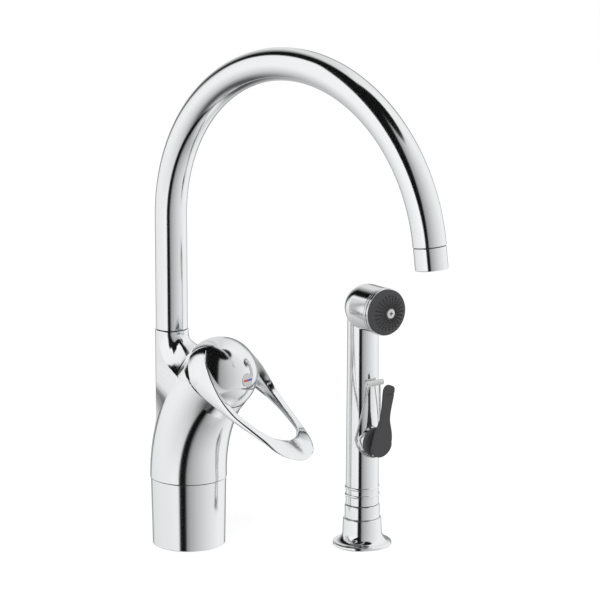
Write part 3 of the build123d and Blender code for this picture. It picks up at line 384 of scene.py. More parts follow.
def merged_copy(node):
    """A bmesh with a CAD node's triangles merged into one skin."""
    bm = bmesh.new()
    bm.from_mesh(frame["nodes"][node].data)
    for layer in list(bm.loops.layers.float_vector.values()):
        bm.loops.layers.float_vector.remove(layer)
    bmesh.ops.remove_doubles(bm, verts=bm.verts, dist=0.002 * MM)
    bmesh.ops.dissolve_degenerate(bm, dist=0.0005 * MM, edges=bm.edges)
    return bm


def skin(bm, node, crease=32.0):
    """Finish a bmesh in metres as the visible piece of one CAD node."""
    bodies = frame["record"]["behaviour"]["bodies"]
    body = next(name for name, nodes in bodies.items() if node in nodes)
    finish_piece(bm, node + "_skin", [node], NODE_SLOTS[node], body, crease)


def piece_for(bm, node, crease=32.0):
    """Finish a bmesh in millimetres as the visible piece of one CAD node."""
    bm.transform(IN_METRES)
    skin(bm, node, crease)


# ---------------------------------------------------------------- frames
def leaning(z):
    """How far the body's centre line leans to the front at a height."""
    rise = min(max(z - BEND_START, 0.0), BEND_R * sin(AXIS_TILT))
    straight = max(z - BEND_START - BEND_R * sin(AXIS_TILT), 0.0)
    return BEND_R - sqrt(BEND_R ** 2 - rise ** 2) + straight * tan(AXIS_TILT)


def frame_of(origin, x_axis, z_axis):
    """Matrix of a place with its x and z directions."""
    x, z = Vector(x_axis).normalized(), Vector(z_axis).normalized()
    turn = Matrix((x, z.cross(x), z)).transposed().to_4x4()
    return Matrix.Translation(origin) @ turn


HUB = frame_of((0, -leaning(HUB_Z), HUB_Z), (0, -cos(AXIS_TILT), -sin(AXIS_TILT)),
               (0, -sin(AXIS_TILT), cos(AXIS_TILT)))
SPRAY = Matrix.Translation((SPRAY_X, SPRAY_Y, 0)) @ Matrix.Rotation(SPRAY_TURN, 4, "Z")
FACING_FRONT = Matrix.Rotation(pi / 2, 4, "X")
IN_HEAD = Matrix.Translation((0, 0, HEAD_Z)) @ FACING_FRONT
IN_VALVE = Matrix.Translation((0, 0, VALVE_Z)) @ FACING_FRONT
HEAD = SPRAY @ IN_HEAD
NECK = Matrix.Translation((0, SPOUT_Y, 0))


# ---------------------------------------------------------------- shaping helpers
def turned(points, rounds=(), steps=144, closed=False):
    """A shape spun about Z from (radius, height) points, with corner radii by the point's number."""
    bm = bmesh.new()
    corners = [bm.verts.new((r, 0, z)) for r, z in points]
    ends = zip(corners, corners[1:] + (corners[:1] if closed else []))
    for pair in ends:
        bm.edges.new(pair)
    for number, radius in dict(rounds).items():
        bmesh.ops.bevel(bm, geom=[corners[number]], offset=radius, segments=4, profile=0.5,
                        affect="VERTICES", material=-1)
    bmesh.ops.spin(bm, geom=bm.verts[:] + bm.edges[:], cent=(0, 0, 0), axis=(0, 0, 1), angle=2 * pi,
                   steps=steps, use_merge=True)
    bmesh.ops.remove_doubles(bm, verts=bm.verts, dist=0.001)
    bmesh.ops.recalc_face_normals(bm, faces=bm.faces)
    return bm


def rod(radius, low, high, segments=96, matrix=Matrix()):
    """A closed cylinder about Z between two heights, placed by a matrix."""
    bm = bmesh.new()
    middle = matrix @ Matrix.Translation((0, 0, (low + high) / 2))
    bmesh.ops.create_cone(bm, cap_ends=True, segments=segments, radius1=radius, radius2=radius,
                          depth=high - low, matrix=middle)
    return bm


def block(size, centre):
    """A closed box of three sizes about a centre."""
    bm = bmesh.new()
    bmesh.ops.create_cube(bm, size=1.0, matrix=Matrix.Translation(centre) @ Matrix.Diagonal((*size, 1.0)))
    return bm


def ball(radius):
    """A closed sphere about the origin."""
    bm = bmesh.new()
    bmesh.ops.create_uvsphere(bm, u_segments=144, v_segments=72, radius=radius)
    return bm


def combined(first, second, operation):
    """Join, cut or keep the common part of two closed shapes."""
    holders = []
    for bm in (first, second):
        mesh = bpy.data.meshes.new("working")
        bm.to_mesh(mesh)
        bm.free()
        holder = bpy.data.objects.new("working", mesh)
        bpy.context.scene.collection.objects.link(holder)
        holders.append(holder)
    modifier = holders[0].modifiers.new("combine", "BOOLEAN")
    modifier.operation = operation
    modifier.solver = "MANIFOLD"
    modifier.object = holders[1]
    evaluated = holders[0].evaluated_get(bpy.context.evaluated_depsgraph_get())
    result = bmesh.new()
    result.from_mesh(evaluated.to_mesh())
    evaluated.to_mesh_clear()
    for holder in holders:
        mesh = holder.data
        bpy.data.objects.remove(holder)
        bpy.data.meshes.remove(mesh)
    bmesh.ops.remove_doubles(result, verts=result.verts, dist=0.0005)
    bmesh.ops.dissolve_degenerate(result, dist=0.0005, edges=result.edges)
    return result


def kept_above(bm, floor):
    """What lies above the floor of a frame."""
    above = block((WIDE, WIDE, DEEP), (0, 0, DEEP / 2))
    above.transform(floor)
    return combined(bm, above, "INTERSECT")


def curve_through(points, start=None, end=None):
    """Smooth line through points, with the direction at its ends where one is given."""
    knots = [Vector(point) for point in points]
    slopes = []
    for i in range(len(knots)):
        before, after = knots[max(i - 1, 0)], knots[min(i + 1, len(knots) - 1)]
        slopes.append((after - before).normalized())
    if start:
        slopes[0] = Vector(start).normalized()
    if end:
        slopes[-1] = Vector(end).normalized()
    line = [knots[0]]
    for a, b, slope_a, slope_b in zip(knots, knots[1:], slopes, slopes[1:]):
        reach = (b - a).length / 3
        handles = (a, a + slope_a * reach, b - slope_b * reach, b)
        piece = interpolate_bezier(*(handle.to_3d() for handle in handles), CURVE_STEPS + 1)
        line += [point.to_2d() if len(a) == 2 else point for point in piece[1:]]
    return line


# ---------------------------------------------------------------- body
def trunk_slice(z):
    """Centre y and half-widths in x and y of the leaning trunk at a height."""
    rise = min(max(z - BEND_START, 0.0), BEND_R * sin(AXIS_TILT))
    half_x = BODY_R + (HOUSING_R - BODY_R) * rise / (BEND_R * sin(AXIS_TILT))
    return -leaning(z), half_x, half_x / cos(asin(rise / BEND_R))


def hull_point(turn, z):
    """Where the outline at a height faces a direction: on the trunk's ellipse or the neck's circle."""
    centre_y, half_x, half_y = trunk_slice(z)
    reach = sqrt((half_x * cos(turn)) ** 2 + (half_y * sin(turn)) ** 2)
    if centre_y * sin(turn) + reach > SPOUT_Y * sin(turn) + NECK_R:
        return half_x ** 2 * cos(turn) / reach, centre_y + half_y ** 2 * sin(turn) / reach
    return NECK_R * cos(turn), SPOUT_Y + NECK_R * sin(turn)


def hull():
    """The casting's hull from the seam to above the neck."""
    bottom, top = RISER_HEIGHT + SEAM, NECK_TOP + 12.0
    bm = rod(1.0, bottom, top, segments=HULL_SIDES)
    upright = [edge for edge in bm.edges if abs(edge.verts[0].co.z - edge.verts[1].co.z) > 1.0]
    bmesh.ops.subdivide_edges(bm, edges=upright, cuts=HULL_LEVELS, use_grid_fill=True)
    for vert in bm.verts:
        vert.co.x, vert.co.y = hull_point(atan2(vert.co.y, vert.co.x), vert.co.z)
    return bm


# the saddle's edge by angle from the front about the neck: how far out it lies, and its height
SADDLE_EDGE = (
    (-12, 25.7, 138.9), (0, 24.7, 139.3), (12, 25.7, 138.9), (22, 28.6, 136.4), (28, 32.5, 131.3),
    (33, 35.5, 126.6), (40, 32.5, 124.4), (47, 23.8, 126.8), (56, 18.6, 128.6), (65, 15.6, 130.4),
    (82, 12.7, 134.5), (99, 11.8, 138.5), (115, 11.6, 143.5), (130, 11.6, 146.0), (150, 11.6, 146.4),
    (180, 11.6, 146.4), (210, 11.6, 146.4),
)
SADDLE_TOP = 148.4      # where the neck starts to flare


def saddle_edge(angle):
    """Distance and height of the saddle's edge at an angle, by a smooth line through the stations."""
    step = next(i for i in range(1, len(SADDLE_EDGE) - 2) if angle <= SADDLE_EDGE[i + 1][0])
    before, low, high, after = (Vector(row) for row in SADDLE_EDGE[step - 1:step + 3])
    part = (angle - low.x) / (high.x - low.x)
    low_slope = (high - before) / (high.x - before.x) * (high.x - low.x)
    high_slope = (after - low) / (after.x - low.x) * (high.x - low.x)
    square, cube = part ** 2, part ** 3
    spot = (low * (2 * cube - 3 * square + 1) + low_slope * (cube - 2 * square + part)
            + high * (3 * square - 2 * cube) + high_slope * (cube - square))
    return spot.y, spot.z


def saddle_height(x, y):
    """Height of the saddle, a long flare from the neck to its edge on the side walls and the rim."""
    angle = degrees(atan2(abs(x), SPOUT_Y - y))
    edge, height = saddle_edge(angle)
    part = max((sqrt(x ** 2 + (SPOUT_Y - y) ** 2) - NECK_R) / (edge - NECK_R), 0.0)
    if part > 1.0:      # past its edge it runs on down, outside the hull
        return height - (SADDLE_TOP - height) * (part - 1.0) / 3.0
    return SADDLE_TOP - (SADDLE_TOP - height) * sqrt((part - part ** 2 / 4) / 0.75)


def crown():
    """What the casting's top keeps: the round neck and the saddle that flows from it to the rim."""
    # close rings beside the neck and even ones beyond, which the saddle's height is then given to
    near = [NECK_R + 0.02 + 14.0 * (i / 40) ** 2 for i in range(41)]
    far = [near[-1] + 1.3 * i for i in range(1, 40)]
    points = [(0, NECK_TOP), (NECK_R, NECK_TOP)] + [(r, 0.0) for r in near + far]
    bm = turned(points + [(far[-1], -DEEP), (0, -DEEP)], rounds={1: 0.5}, steps=300)
    bm.transform(NECK)
    for vert in bm.verts:
        if abs(vert.co.z) < 0.01:
            vert.co.z = saddle_height(vert.co.x, vert.co.y)
    return bm


def body_casting():
    """The casting: hull, saddle and housing, bored for the cartridge and the spout."""
    bm = combined(hull(), crown(), "INTERSECT")
    bm = combined(bm, rod(200, HOUSING_TOP - 400, HOUSING_TOP, matrix=HUB), "INTERSECT")
    housing = rod(HOUSING_R - 0.04, HOUSING_TOP - 12.0, HOUSING_TOP - 0.02, segments=HULL_SIDES,
                  matrix=HUB)
    bm = combined(bm, housing, "UNION")
    for radius, depth in ((CHAMBER_R, CHAMBER_DEPTH), (NUT_BORE_R, NUT_BORE_DEPTH)):
        bm = combined(bm, rod(radius, HOUSING_TOP - depth, 10, matrix=HUB), "DIFFERENCE")
    return combined(bm, rod(SOCKET_R, NECK_TOP - SOCKET_DEPTH, NECK_TOP + 10, matrix=NECK), "DIFFERENCE")


def base_riser():
    """The sleeve under the body."""
    inner = RISER_R_BOTTOM - RISER_WALL
    return turned([(inner, 0), (RISER_R_BOTTOM, 0), (RISER_R_TOP, RISER_HEIGHT), (inner, RISER_HEIGHT)],
                  rounds={1: 0.5, 2: 0.4}, steps=192, closed=True)


# ---------------------------------------------------------------- spout
FLOW = Vector((0, -sin(ARC_ANGLE), cos(ARC_ANGLE)))     # direction of the water at the outlet
ARC_CENTRE = Vector((0, SPOUT_Y - ARC_R, LEG_TOP))


def gooseneck():
    """The bent tube: a ring drawn up the leg, round the bend and down the tail."""
    bm = bmesh.new()
    for radius in (TUBE_R, TUBE_R - TUBE_WALL):
        foot = Matrix.Translation((0, SPOUT_Y, NECK_TOP + SEAM))
        ring = bmesh.ops.create_circle(bm, segments=96, radius=radius, matrix=foot)["verts"]
        edges = list({edge for vert in ring for edge in vert.link_edges})
        grown = bmesh.ops.extrude_edge_only(bm, edges=edges)["geom"]
        tops = [item for item in grown if isinstance(item, bmesh.types.BMVert)]
        bmesh.ops.translate(bm, verts=tops, vec=(0, 0, LEG_TOP - NECK_TOP - SEAM))
        near = {edge for vert in tops for edge in vert.link_edges}
        rim = [edge for edge in near if all(vert in tops for vert in edge.verts)]
        bent = bmesh.ops.spin(bm, geom=tops + rim, cent=ARC_CENTRE, axis=(1, 0, 0), angle=ARC_ANGLE,
                              steps=160)
        last = [item for item in bent["geom_last"] if isinstance(item, bmesh.types.BMEdge)]
        grown = bmesh.ops.extrude_edge_only(bm, edges=last)["geom"]
        ends = [item for item in grown if isinstance(item, bmesh.types.BMVert)]
        bmesh.ops.translate(bm, verts=ends, vec=FLOW * TAIL)
    open_edges = [edge for edge in bm.edges if len(edge.link_faces) == 1]
    foot_edges = [edge for edge in open_edges if edge.verts[0].co.y > 0]
    outlet_edges = [edge for edge in open_edges if edge.verts[0].co.y < 0]
    for edges in (foot_edges, outlet_edges):
        bmesh.ops.bridge_loops(bm, edges=edges)
    bmesh.ops.recalc_face_normals(bm, faces=bm.faces)
    return bm


def outlet_frame():
    """Frame at the spout's end, with z along the water."""
    end = ARC_CENTRE + ARC_R * Vector((0, cos(ARC_ANGLE), sin(ARC_ANGLE)))
    return frame_of(end + TAIL * FLOW, (1, 0, 0), FLOW)


def aerator_sleeve():
    """The sleeve at the outlet, a little slimmer than the tube."""
    inner = SLEEVE_R - SLEEVE_WALL
    bm = turned([(inner, SEAM), (SLEEVE_R, SEAM), (SLEEVE_R, SLEEVE_LENGTH), (inner, SLEEVE_LENGTH)],
                rounds={1: 0.4, 2: 0.7}, closed=True)
    bm.transform(outlet_frame())
    return bm


# ---------------------------------------------------------------- lever, in the hub's frame
# stations along one arm of the loop, from behind the dome to the tip: its outer and its inner top edge as
# (forward, sideways, up), and the height of its underside
LEVER_STATIONS = (
    ((-17.0, 0.0, 11.0), (-9.0, 0.0, 9.0), -6.0),
    ((-13.0, 15.0, 16.6), (-8.0, 9.0, 12.5), -6.0),
    ((-6.0, 21.2, 15.4), (-3.0, 14.5, 11.0), -6.5),
    ((4.0, 24.7, 14.6), (5.0, 18.0, 8.5), -5.3),
    ((14.0, 26.0, 13.0), (14.0, 20.6, 8.0), -2.0),
    ((26.0, 26.2, 11.2), (26.0, 21.0, 9.6), 2.2),
    ((40.0, 25.2, 11.6), (40.0, 20.3, 11.4), 6.6),
    ((54.0, 22.4, 14.2), (54.0, 17.6, 14.8), 10.8),
    ((67.0, 19.7, 16.9), (64.0, 14.0, 17.2), 14.6),
    ((77.5, 16.6, 18.0), (69.0, 9.0, 18.2), 16.9),
    ((84.5, 10.8, 18.9), (71.4, 4.6, 18.7), 18.2),
    ((88.6, 0.0, 19.6), (72.3, 0.0, 18.9), 18.6),
)


def lever_loop():
    """The loop: a rounded bar spun into a ring and drawn onto its stations."""
    bm = bmesh.new()
    bmesh.ops.create_grid(bm, x_segments=1, y_segments=1, size=0.5,
                          matrix=Matrix.Translation((2, 0, 0)) @ Matrix.Rotation(pi / 2, 4, "X"))
    bmesh.ops.bevel(bm, geom=bm.verts[:], offset=0.14, segments=4, profile=0.5, affect="VERTICES",
                    material=-1)
    bmesh.ops.delete(bm, geom=bm.faces[:], context="FACES_ONLY")
    bmesh.ops.subdivide_edges(bm, edges=[e for e in bm.edges if e.calc_length() > 0.3], cuts=3)
    bmesh.ops.spin(bm, geom=bm.verts[:] + bm.edges[:], cent=(0, 0, 0), axis=(0, 0, 1), angle=2 * pi,
                   steps=220, use_merge=True)
    bmesh.ops.remove_doubles(bm, verts=bm.verts, dist=0.0001)
    outers, inners = (curve_through([station[part] for station in LEVER_STATIONS],
                                    start=(0, 1, 0), end=(0, -1, 0)) for part in (0, 1))
    lows = curve_through([(i, station[2]) for i, station in enumerate(LEVER_STATIONS)])
    last = len(outers) - 1
    for vert in bm.verts:
        turn = atan2(vert.co.y, vert.co.x)
        across = sqrt(vert.co.x ** 2 + vert.co.y ** 2) - 1.5
        height = vert.co.z + 0.5
        spot = abs(turn) / pi * last
        step = min(int(spot), last - 1)
        outer, inner, low = (line[step].lerp(line[step + 1], spot - step)
                             for line in (outers, inners, lows))
        place = inner.lerp(outer, across)
        bulge = LOOP_BULGE * sin(pi * height) * (across - 0.5) * 2
        out = (outer - inner).to_2d().normalized() * bulge
        place.z = low.y + (place.z - low.y) * height
        side = 1 if turn >= 0 else -1
        vert.co = (place.x + out.x, side * (place.y + out.y), place.z)
    bmesh.ops.recalc_face_normals(bm, faces=bm.faces)
    return bm


def indicator_frame():
    """Frame on the dome's front, with z straight out of it, in the hub's frame."""
    out = Vector((cos(AXIS_TILT), 0, sin(AXIS_TILT)))
    return frame_of(out * DOME_R, (0, 1, 0), out)


def lever_handle():
    """Dome and loop lever in one casting, hollow underneath, with the indicator's seat."""
    rim = Matrix.Translation((0, 0, DOME_RIM))
    bm = kept_above(combined(lever_loop(), ball(DOME_R), "UNION"), rim)
    bm = kept_above(bm, rim @ Matrix.Rotation(LIFT, 4, "Y"))
    bm = combined(bm, ball(DOME_R - DOME_WALL), "DIFFERENCE")
    seat = rod(INDICATOR_R + INDICATOR_GAP, -INDICATOR_SEAT, 10, matrix=indicator_frame())
    bm = combined(bm, seat, "DIFFERENCE")
    bm.transform(HUB)
    return bm


def lever_boss():
    """The square boss inside the dome that grips the stem."""
    bm = block((STEM_SOCKET, STEM_SOCKET, BOSS_HEIGHT), (0, 0, BOSS_LOW + BOSS_HEIGHT / 2))
    hole = block((STEM_HOLE, STEM_HOLE, STEM_DEPTH + 0.2), (0, 0, BOSS_LOW + STEM_DEPTH / 2 - 0.1))
    bm = combined(bm, hole, "DIFFERENCE")
    bm.transform(HUB)
    return bm


def cover_ring():
    """The ball-shaped ring under the dome."""
    start = asin(HOUSING_TOP / COVER_R)
    end = asin(COVER_TOP / COVER_R)
    angles = [start + (end - start) * i / 14 for i in range(15)]
    outside = [(COVER_R * cos(angle), COVER_R * sin(angle)) for angle in angles]
    shrink = (COVER_R - COVER_WALL) / COVER_R
    inside = [(r * shrink, max(z * shrink, HOUSING_TOP)) for r, z in reversed(outside)]
    bm = turned(outside + inside, closed=True)
    bm.transform(HUB)
    return bm


# ---------------------------------------------------------------- side spray
def handle_radius(z):
    """Radius of the tapered handle at a height."""
    part = (z - COLLAR_TOP) / (HEAD_Z - HEAD_R - COLLAR_TOP)
    return HANDLE_R_BOTTOM + (HANDLE_R_TOP - HANDLE_R_BOTTOM) * part


def holder_flange():
    """The deck holder: a thin flange that sweeps up into the cup."""
    sweep = curve_through([(FLANGE_R - 0.8, FLANGE_THICK), (CUP_R + 2.4, 4.4), (CUP_R + 0.1, 8.5)],
                          start=(-1, 0.08), end=(-0.05, 1))
    points = [(HOLDER_BORE_R, 0), (FLANGE_R - 0.4, 0), (FLANGE_R, 0.5), (FLANGE_R, FLANGE_THICK - 0.6)]
    points += [tuple(p) for p in sweep]
    points += [(CUP_R - 0.3, CUP_TOP), (HOLDER_BORE_R, CUP_TOP)]
    bm = turned(points, rounds={len(points) - 2: 0.7}, closed=True)
    bm.transform(SPRAY)
    return bm


def spray_foot():
    """The collar that seats on the holder's cup, with a plug that reaches into it."""
    inner, plug = 4.0, HOLDER_BORE_R - 1.4
    low, seat, top = CUP_TOP - 4, CUP_TOP + 0.02, COLLAR_TOP - 0.4
    bm = turned([(inner, low), (plug, low), (plug, seat), (COLLAR_R, seat), (COLLAR_R, top), (inner, top)],
                rounds={3: 0.8, 4: 1.0}, closed=True)
    bm.transform(SPRAY)
    return bm


def spray_handle():
    """The tapered handle with two turned beads and the valve's boss."""
    points = [(HANDLE_R_BOTTOM - 3, COLLAR_TOP), (handle_radius(COLLAR_TOP), COLLAR_TOP)]
    for z in BEAD_HEIGHTS:
        centre = handle_radius(z) - BEAD_R * 0.45
        reach = asin(0.45)
        for i in range(11):
            angle = -(pi / 2 - reach) + (pi - 2 * reach) * i / 10
            points.append((centre + BEAD_R * cos(angle), z + BEAD_R * sin(angle)))
    points += [(handle_radius(HEAD_JOINT), HEAD_JOINT), (HANDLE_R_BOTTOM - 3, HEAD_JOINT)]
    bm = turned(points, closed=True, steps=160)
    boss = turned([(0, 4), (BOSS_ROOT_R, 4), (BOSS_ROOT_R, HANDLE_R_TOP - 4), (BOSS_FRONT_R, BOSS_FRONT),
                   (0, BOSS_FRONT)], rounds={3: 0.4})
    boss.transform(IN_VALVE)
    bm = combined(bm, boss, "UNION")
    bm.transform(SPRAY)
    return bm


def spray_head():
    """The barrel with its rounded back, sitting on the handle."""
    back = [(HEAD_R * sin(i * pi / 40), HEAD_BACK - HEAD_R * cos(i * pi / 40)) for i in range(21)]
    inner = HEAD_R - HEAD_WALL
    points = back + [(HEAD_R, HEAD_FRONT), (inner, HEAD_FRONT), (inner, HEAD_BACK), (0, HEAD_BACK - 4)]
    bm = turned(points, rounds={len(back): 0.5}, steps=180)
    bm.transform(IN_HEAD)
    stub = rod(1.0, HEAD_JOINT, HEAD_Z - HEAD_R * 0.5, segments=160)
    for vert in stub.verts:
        radius = handle_radius(vert.co.z)
        vert.co.x, vert.co.y = vert.co.x * radius, vert.co.y * radius
    bm = combined(bm, stub, "UNION")
    bm.transform(SPRAY)
    return bm


def head_ring(number):
    """One of the two bright rings round the head's front."""
    low, inner = HEAD_FRONT + RING_GAP + number * (RING_WIDTH + RING_GAP), FACE_R - 3.2
    bm = turned([(inner, low), (RING_R, low), (RING_R, low + RING_WIDTH), (inner, low + RING_WIDTH)],
                rounds={1: 0.35, 2: 0.35}, steps=160, closed=True)
    bm.transform(HEAD)
    return bm


def plate_outline():
    """The bulged spray plate: its middle's height, the bulge's radius, and its arc from rim to middle."""
    bulge_r = (FACE_R ** 2 + FACE_RISE ** 2) / (2 * FACE_RISE)
    middle = PLATE_BACK + PLATE_EDGE + FACE_RISE
    angles = [asin(FACE_R / bulge_r) * (1 - i / 16) for i in range(17)]
    arc = [(bulge_r * sin(angle), middle - bulge_r + bulge_r * cos(angle)) for angle in angles]
    return middle, bulge_r, arc


def spray_plate():
    """The dark plate with its rows of raised jets."""
    middle, bulge_r, arc = plate_outline()
    bm = turned([(0, PLATE_BACK), (FACE_R, PLATE_BACK)] + arc, rounds={2: 0.5}, steps=160)
    nozzle = {"segments": 12, "radius1": JET_R, "radius2": JET_TIP_R, "depth": JET_HEIGHT}
    for ring in range(JET_RINGS):
        radius = JET_RING_R + ring * JET_RING_STEP
        height = middle - bulge_r + sqrt(bulge_r ** 2 - radius ** 2)
        for i in range(JET_RAYS):
            angle = 2 * pi * i / JET_RAYS
            place = Matrix.Rotation(angle, 4, "Z") @ Matrix.Translation((radius, 0, height))
            lean = Matrix.Rotation(asin(radius / bulge_r), 4, "Y")
            made = bmesh.ops.create_cone(bm, cap_ends=True, matrix=place @ lean, **nozzle)["verts"]
            face = max({f for v in made for f in v.link_faces}, key=lambda f: f.calc_center_median().z)
            bmesh.ops.inset_individual(bm, faces=[face], thickness=JET_LIP, depth=0.0)
            bmesh.ops.translate(bm, verts=face.verts[:], vec=-JET_DEPTH * face.normal)
    bm.transform(HEAD)
    return bm


def face_screw():
    """Cross-head screw in the middle of the plate."""
    top = plate_outline()[0] + SCREW_RISE
    low = top - SCREW_HEAD
    bm = turned([(0, low), (SCREW_R, low), (SCREW_R, top), (0, top)], rounds={2: 0.4}, steps=64)
    for size in ((SLOT_LENGTH, SLOT_WIDTH, SCREW_HEAD), (SLOT_WIDTH, SLOT_LENGTH, SCREW_HEAD)):
        bm = combined(bm, block(size, (0, 0, top)), "DIFFERENCE")
    bm.transform(HEAD)
    return bm


# ---------------------------------------------------------------- settings
class MixerSettings(bpy.types.PropertyGroup):
    """Roughness and colours of the finishes that a user may change before building."""

    chrome_roughness: FloatProperty(
        name="Chrome roughness", description="Roughness of the clean chrome",
        default=0.025, min=0.0, max=1.0)
    chrome_colour: FloatVectorProperty(
        name="Chrome colour", description="Reflection colour of the chrome", subtype="COLOR",
        default=(0.965, 0.97, 0.975), min=0.0, max=1.0)
    plastic_colour: FloatVectorProperty(
        name="Dark plastic", description="Colour of the trigger, its cap and the spray plate",
        subtype="COLOR", default=(0.07, 0.07, 0.072), min=0.0, max=1.0)


class StudioSettings(bpy.types.PropertyGroup):
    """Camera and light."""

    azimuth: FloatProperty(
        name="Camera azimuth", description="Turn of the camera about the mixer, from the front",
        default=radians(-46.8), subtype="ANGLE")
    elevation: FloatProperty(
        name="Camera elevation", description="Height angle of the camera",
        default=radians(13.3), subtype="ANGLE")
    distance: FloatProperty(
        name="Camera distance", description="From the camera to the point it looks at",
        default=2.5, unit="LENGTH")
    target: FloatVectorProperty(
        name="Look-at point", description="Point in the middle of the picture",
        default=(0.080767, -0.029784, 0.162813), subtype="XYZ")
    lens: FloatProperty(
        name="Lens", description="Focal length in millimetres on a 36 mm sensor", default=216.27)
    sky_level: FloatProperty(
        name="Sky level", description="Plain level of the soft light from all round", default=0.62, min=0.0)
    lamp_power: FloatProperty(
        name="Lamp power", description="Power of the large soft lamp in watts", default=9.0, min=0.0)


# ---------------------------------------------------------------- operators
class MIXER_OT_materials(bpy.types.Operator):
    """Build the finishes and give them to the CAD nodes"""

    bl_idname = "mixer.materials"
    bl_label = "Finishes"

    def execute(self, context):
        build_materials(context.scene.mixer)
        for node, piece in frame["nodes"].items():
            piece.data.materials.clear()
            piece.data.materials.append(bpy.data.materials[NODE_SLOTS[node]])
        return {"FINISHED"}


class MIXER_OT_body(bpy.types.Operator):
    """Model the base sleeve and the body casting"""

    bl_idname = "mixer.body"
    bl_label = "Body"

    def execute(self, context):
        piece_for(base_riser(), "base_riser")
        piece_for(body_casting(), "body_casting", crease=24.0)
        return {"FINISHED"}


class MIXER_OT_spout(bpy.types.Operator):
    """Model the gooseneck and its outlet sleeve"""

    bl_idname = "mixer.spout"
    bl_label = "Spout"

    def execute(self, context):
        piece_for(gooseneck(), "spout_tube")
        piece_for(aerator_sleeve(), "aerator_sleeve")
        return {"FINISHED"}


class MIXER_OT_lever(bpy.types.Operator):
    """Model the dome with its loop lever and the ring under it"""

    bl_idname = "mixer.lever"
    bl_label = "Lever"

    def execute(self, context):
        piece_for(lever_handle(), "lever_handle", crease=34.0)
        stem_grip = lever_boss()
        stem_grip.transform(IN_METRES)
        finish_piece(stem_grip, "lever_stem_grip", [], "chrome", "lever")
        piece_for(cover_ring(), "cover_ring")
        return {"FINISHED"}


class MIXER_OT_spray_body(bpy.types.Operator):
    """Model the side spray's holder, collar, handle and head"""

    bl_idname = "mixer.spray_body"
    bl_label = "Side spray"

    def execute(self, context):
        piece_for(holder_flange(), "holder_flange")
        piece_for(spray_foot(), "spray_foot")
        piece_for(spray_handle(), "spray_handle", crease=36.0)
        piece_for(spray_head(), "spray_head", crease=36.0)
        piece_for(head_ring(0), "head_ring_rear")
        piece_for(head_ring(1), "head_ring_front")
        return {"FINISHED"}


class MIXER_OT_spray_face(bpy.types.Operator):
    """Model the spray plate with its jets and its screw"""

    bl_idname = "mixer.spray_face"
    bl_label = "Spray face"

    def execute(self, context):
        piece_for(spray_plate(), "spray_plate", crease=30.0)
        piece_for(face_screw(), "face_screw")
        return {"FINISHED"}


class MIXER_OT_small_pieces(bpy.types.Operator):
    """Give every other piece one smooth skin in its own finish"""

    bl_idname = "mixer.small_pieces"
    bl_label = "Small pieces"

    def execute(self, context):
        for node in sorted(node for node in frame["nodes"] if node + "_skin" not in context.scene.objects):
            skin(merged_copy(node), node)
        return {"FINISHED"}


class MIXER_OT_studio(bpy.types.Operator):
    """Lay the floor and set up the world, the lamp and the camera"""

    bl_idname = "mixer.studio"
    bl_label = "Studio"

    def execute(self, context):
        settings = context.scene.mixer_studio
        lay_floor()
        build_world(settings)
        hang_lamp(settings)
        place_camera(settings)
        context.scene.view_settings.view_transform = "Standard"
        return {"FINISHED"}


# ---------------------------------------------------------------- studio
def lay_floor():
    """A plain white floor that keeps a soft shadow."""
    bm = bmesh.new()
    bmesh.ops.create_grid(bm, x_segments=1, y_segments=1, size=3.0)
    mesh = bpy.data.meshes.new("floor")
    bm.to_mesh(mesh)
    bm.free()
    floor = bpy.data.objects.new("floor", mesh)
    bpy.context.scene.collection.objects.link(floor)
    floor.visible_glossy = False
    material, graph = fresh_material("floor_white")
    diffuse = graph.add("ShaderNodeBsdfDiffuse", Color=(0.8, 0.8, 0.8, 1.0))
    glow = graph.add("ShaderNodeEmission", Color=(1.0, 1.0, 1.0, 1.0))
    path = graph.add("ShaderNodeLightPath").outputs
    seen = graph.math("MAXIMUM", path["Is Camera Ray"], path["Is Transmission Ray"])
    graph.feed(glow.inputs["Strength"], graph.math("MULTIPLY", seen, 0.5))
    both = graph.add("ShaderNodeAddShader", i0=diffuse.outputs[0], i1=glow.outputs[0])
    graph.add("ShaderNodeOutputMaterial", i0=both.outputs[0])
    mesh.materials.append(material)


def turn_place(degrees_round):
    """Place of an azimuth, from the camera's side, on a ramp that goes once round."""
    return (degrees_round + 180.0) / 360.0


def height_place(degrees_up):
    """Place of an elevation on a ramp from straight down to straight up."""
    return (degrees_up + 90.0) / 180.0


# levels of the studio wall seen in the chrome, by azimuth in degrees from the camera, positive to its right
WALL_LEVELS = (
    (-180, 0.86), (-172, 0.88), (-146, 0.92), (-118, 0.95), (-95, 0.97), (-60, 0.98), (-38, 1.0),
    (-30, 1.0), (-25, 0.08), (-8, 0.07), (-3, 0.60), (8, 0.68), (30, 0.78), (55, 0.86), (85, 0.92),
    (108, 0.96), (138, 0.95), (160, 0.92), (180, 0.86),
)
# how the left and the right half of the floor darken in the chrome, by elevation in degrees
LEFT_FLOOR = ((-90, 0.95), (-81, 0.76), (-75, 0.57), (-69, 0.40), (-62, 0.32), (-55, 0.50), (-48, 0.66),
              (-40, 0.80), (-30, 0.88), (-18, 0.95), (-5, 1.0), (90, 1.0))
RIGHT_FLOOR = ((-90, 1.0), (-75, 1.0), (-60, 0.86), (-48, 0.95), (-35, 1.0), (90, 1.0))
RIGHT_HALF = ((-178, 0.0), (-6, 0.0), (6, 1.0), (150, 1.0), (178, 0.0))
# the flag over the left soft box: between two azimuths, above a slanting edge through two directions
FLAG_SPAN = ((-168, 0.0), (-140, 1.0), (-6, 1.0), (3, 0.0))
FLAG_EDGE = ((-32, 62), (-116, 34))
